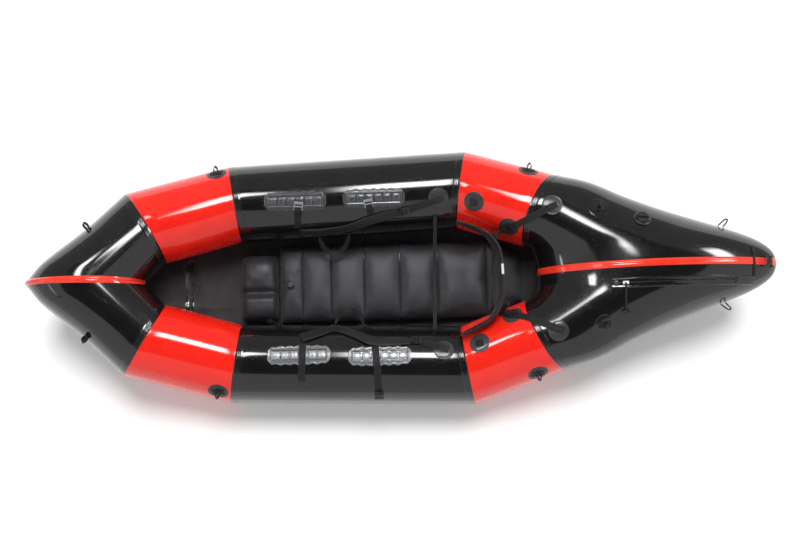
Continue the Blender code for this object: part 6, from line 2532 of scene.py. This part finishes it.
@dataclass
class Studio:
    """A pale floor, a bright room with a darker ceiling over the raft, and strips of light for the gloss."""

    place: Mark = (-0.02394, -0.4325, 3.7697)
    roll: float = 1.75
    tilt: float = 7.5
    lens: float = 45.0
    sensor: float = 36.0
    ambient: float = 0.36
    port_wall: float = 0.85
    starboard_wall: float = 0.34
    wall_span: Pair = (-0.15, 0.30)
    ceiling: float = 0.03
    floor_side: float = 18.0
    floor_grey: float = 0.9
    floor_glow: float = 0.12
    ceiling_span: float = 30.0
    ceiling_edge: float = 5.0
    fade_start: float = 0.18
    aim: Mark = (0, 0, 0.2)
    panels: tuple[tuple[str, Mark, Pair, float], ...] = (
        ("big_box", (0.08, 1.05, 3.0), (1.15, 1.05), 30.0),
        ("bow_box", (-1.10, 1.05, 3.0), (0.9, 0.6), 24.0),
        ("stern_wall", (3.5, 1.25, 3.0), (2.3, 1.1), 22.0),
        ("bow_wall", (-3.4, -0.2, 2.1), (3.4, 0.30), 9.0),
    )
    suns: tuple[tuple[str, Mark, float, float], ...] = (
        ("key", (0.10, 0.52, 1.0), 24.0, 2.75),
        ("fill", (-0.3, -1.0, 0.7), 60.0, 0.40),
    )

    def camera(self) -> None:
        """Sets the camera at the photograph's angle."""
        roll, tilt = math.radians(self.roll), math.radians(self.tilt)
        right = Vector((math.cos(roll), -math.sin(roll), 0))
        top = Vector((math.sin(roll) * math.cos(tilt), math.cos(roll) * math.cos(tilt), math.sin(tilt)))
        data = bpy.data.cameras.new("view")
        data.lens, data.sensor_width = self.lens, self.sensor
        camera = placed("view", data)
        turn = Matrix((right, top, right.cross(top))).transposed().to_4x4()
        camera.matrix_world = Matrix.Translation(Vector(self.place)) @ turn
        bpy.context.scene.camera = camera

    def world(self) -> None:
        """Makes the room: pale walls and a dim ceiling to gloss, even light to the rest, and white to the camera."""
        world = bpy.data.worlds.new("room")
        bpy.context.scene.world = world
        world.use_nodes = True
        room = Nodes(world.node_tree)
        way = room.split(room.node("ShaderNodeTexCoord").outputs["Generated"])
        wall = room.ranged(way["Y"], self.port_wall, self.starboard_wall, *self.wall_span, "SMOOTHSTEP")
        span = [math.cos(math.radians(self.ceiling_span + more)) for more in (self.ceiling_edge, 0.0)]
        walls = room.ranged(way["Z"], wall, self.ceiling, *span, "SMOOTHSTEP")
        rays = room.node("ShaderNodeLightPath").outputs
        gloss = room.node("ShaderNodeMix", n0=rays["Is Glossy Ray"], n2=self.ambient, n3=walls)
        seen = room.math("MAXIMUM", rays["Is Camera Ray"], rays["Is Transmission Ray"])
        pick = room.node("ShaderNodeMix", n0=seen, n2=gloss.outputs[0], n3=1.0)
        room.fill(room.tree.nodes["Background"], Strength=pick.outputs[0], Color=(1, 1, 1, 1))

    def plate(self, name: str, width: float, depth: float) -> bpy.types.Object:
        """A level rectangle in the scene, round the frame's origin.

        Args:
            name: Its name.
            width: Its side along X.
            depth: Its side along Y.

        Returns:
            The rectangle's object.
        """
        mesh = bpy.data.meshes.new(name)
        x, y = width / 2, depth / 2
        mesh.from_pydata([(-x, -y, 0), (x, -y, 0), (x, y, 0), (-x, y, 0)], [], [(0, 1, 2, 3)])
        return placed(name, mesh)

    def floor(self) -> None:
        """Lays the pale floor, which keeps the raft's shadow."""
        floor = self.plate("floor", self.floor_side, self.floor_side)
        recipe = Recipe("pale_floor")
        rays = recipe.node("ShaderNodeLightPath").outputs
        seen = recipe.math("MAXIMUM", rays["Is Camera Ray"], rays["Is Glossy Ray"])
        seen = recipe.math("MAXIMUM", seen, rays["Is Transmission Ray"])
        floor.data.materials.append(recipe.finish(
            Base_Color=(*[self.floor_grey] * 3, 1),
            Roughness=0.9,
            Specular_IOR_Level=0.0,
            Emission_Color=(1, 1, 1, 1),
            Emission_Strength=recipe.math("MULTIPLY", seen, self.floor_glow),
        ))

    def panel(self, name: str, place: Vector, size: Pair, strength: float) -> None:
        """Hangs a panel of light, turned to the raft, that only gloss sees.

        Args:
            name: Its name.
            place: Its middle.
            size: Its level side and its other side.
            strength: How bright it is.
        """
        panel = self.plate(name, *size)
        facing = (Vector(self.aim) - place).normalized()
        level = facing.cross(UP) if abs(facing.z) < 0.9 else FORWARD
        level = (level - facing * level.dot(facing)).normalized()
        turn = Matrix((level, facing.cross(level), facing)).transposed()
        panel.matrix_world = Matrix.Translation(place) @ turn.to_4x4()
        material = bpy.data.materials.new(name)
        material.use_nodes = True
        nodes = Nodes(material.node_tree)
        nodes.tree.nodes.clear()
        glossy = nodes.node("ShaderNodeLightPath").outputs["Is Glossy Ray"]
        glow = self.softened(nodes, nodes.math("MULTIPLY", glossy, strength))
        shine = nodes.node("ShaderNodeEmission", Strength=glow)
        nodes.node("ShaderNodeOutputMaterial", Surface=shine.outputs[0])
        material.cycles.emission_sampling = "NONE"
        panel.data.materials.append(material)
        panel.visible_camera = panel.visible_shadow = panel.visible_diffuse = panel.visible_transmission = False

    def softened(self, nodes: Nodes, glow: Socket) -> Socket:
        """Lets a panel's light fade towards its four edges.

        Args:
            nodes: The panel's node tree.
            glow: Its strength.

        Returns:
            The strength with the fade.
        """
        spot = nodes.split(nodes.node("ShaderNodeTexCoord").outputs["Generated"])
        for side in ("X", "Y"):
            gap = nodes.math("ABSOLUTE", nodes.math("SUBTRACT", spot[side], 0.5))
            glow = nodes.math("MULTIPLY", glow, nodes.ranged(gap, 1.0, 0.0, self.fade_start, 0.5, "SMOOTHSTEP"))
        return glow

    def sun(self, name: str, place: Vector, spread: float, power: float) -> None:
        """Shines an even lamp from this way, with soft shadows and no gloss.

        Args:
            name: Its name.
            place: The way that it shines from.
            spread: How wide it seems, in degrees.
            power: How strong it is.
        """
        data = bpy.data.lights.new(name, "SUN")
        data.angle, data.energy = math.radians(spread), power
        lamp = placed(name, data)
        lamp.rotation_mode = "QUATERNION"
        lamp.rotation_quaternion = (-place).to_track_quat("-Z", "Y")
        lamp.visible_glossy = False

    def build(self) -> None:
        """Sets up camera, room, floor and lights."""
        self.camera()
        self.world()
        self.floor()
        for name, place, size, strength in self.panels:
            self.panel(name, Vector(place), size, strength)
        for name, place, spread, power in self.suns:
            self.sun(name, Vector(place), spread, power)
        bpy.context.scene.view_settings.view_transform = "Standard"


def main() -> None:
    """Builds the raft from its hull inwards, and the studio round it."""
    logging.basicConfig(level=logging.INFO, format="%(message)s")
    hull = Hull()
    hull.build()
    Tapes(hull).build()
    floor = FloorSheet(hull.form)
    floor.build()
    anchors = Anchors(hull)
    anchors.build()
    DaisyChains(hull).build()
    back = Backrest(hull.form.shift)
    back.build()
    Straps(hull, anchors).build(back)
    SeatMat(floor).build()
    FootCushion(hull.form.shift).build()
    MatValve(hull.form.shift).build()
    MainValve(hull).build()
    Zipper(hull).build()
    SternCords(hull).build()
    Studio().build()
    LOG.info("%d pieces dressed", MAKER.count)


if __name__ == "__main__":
    main()
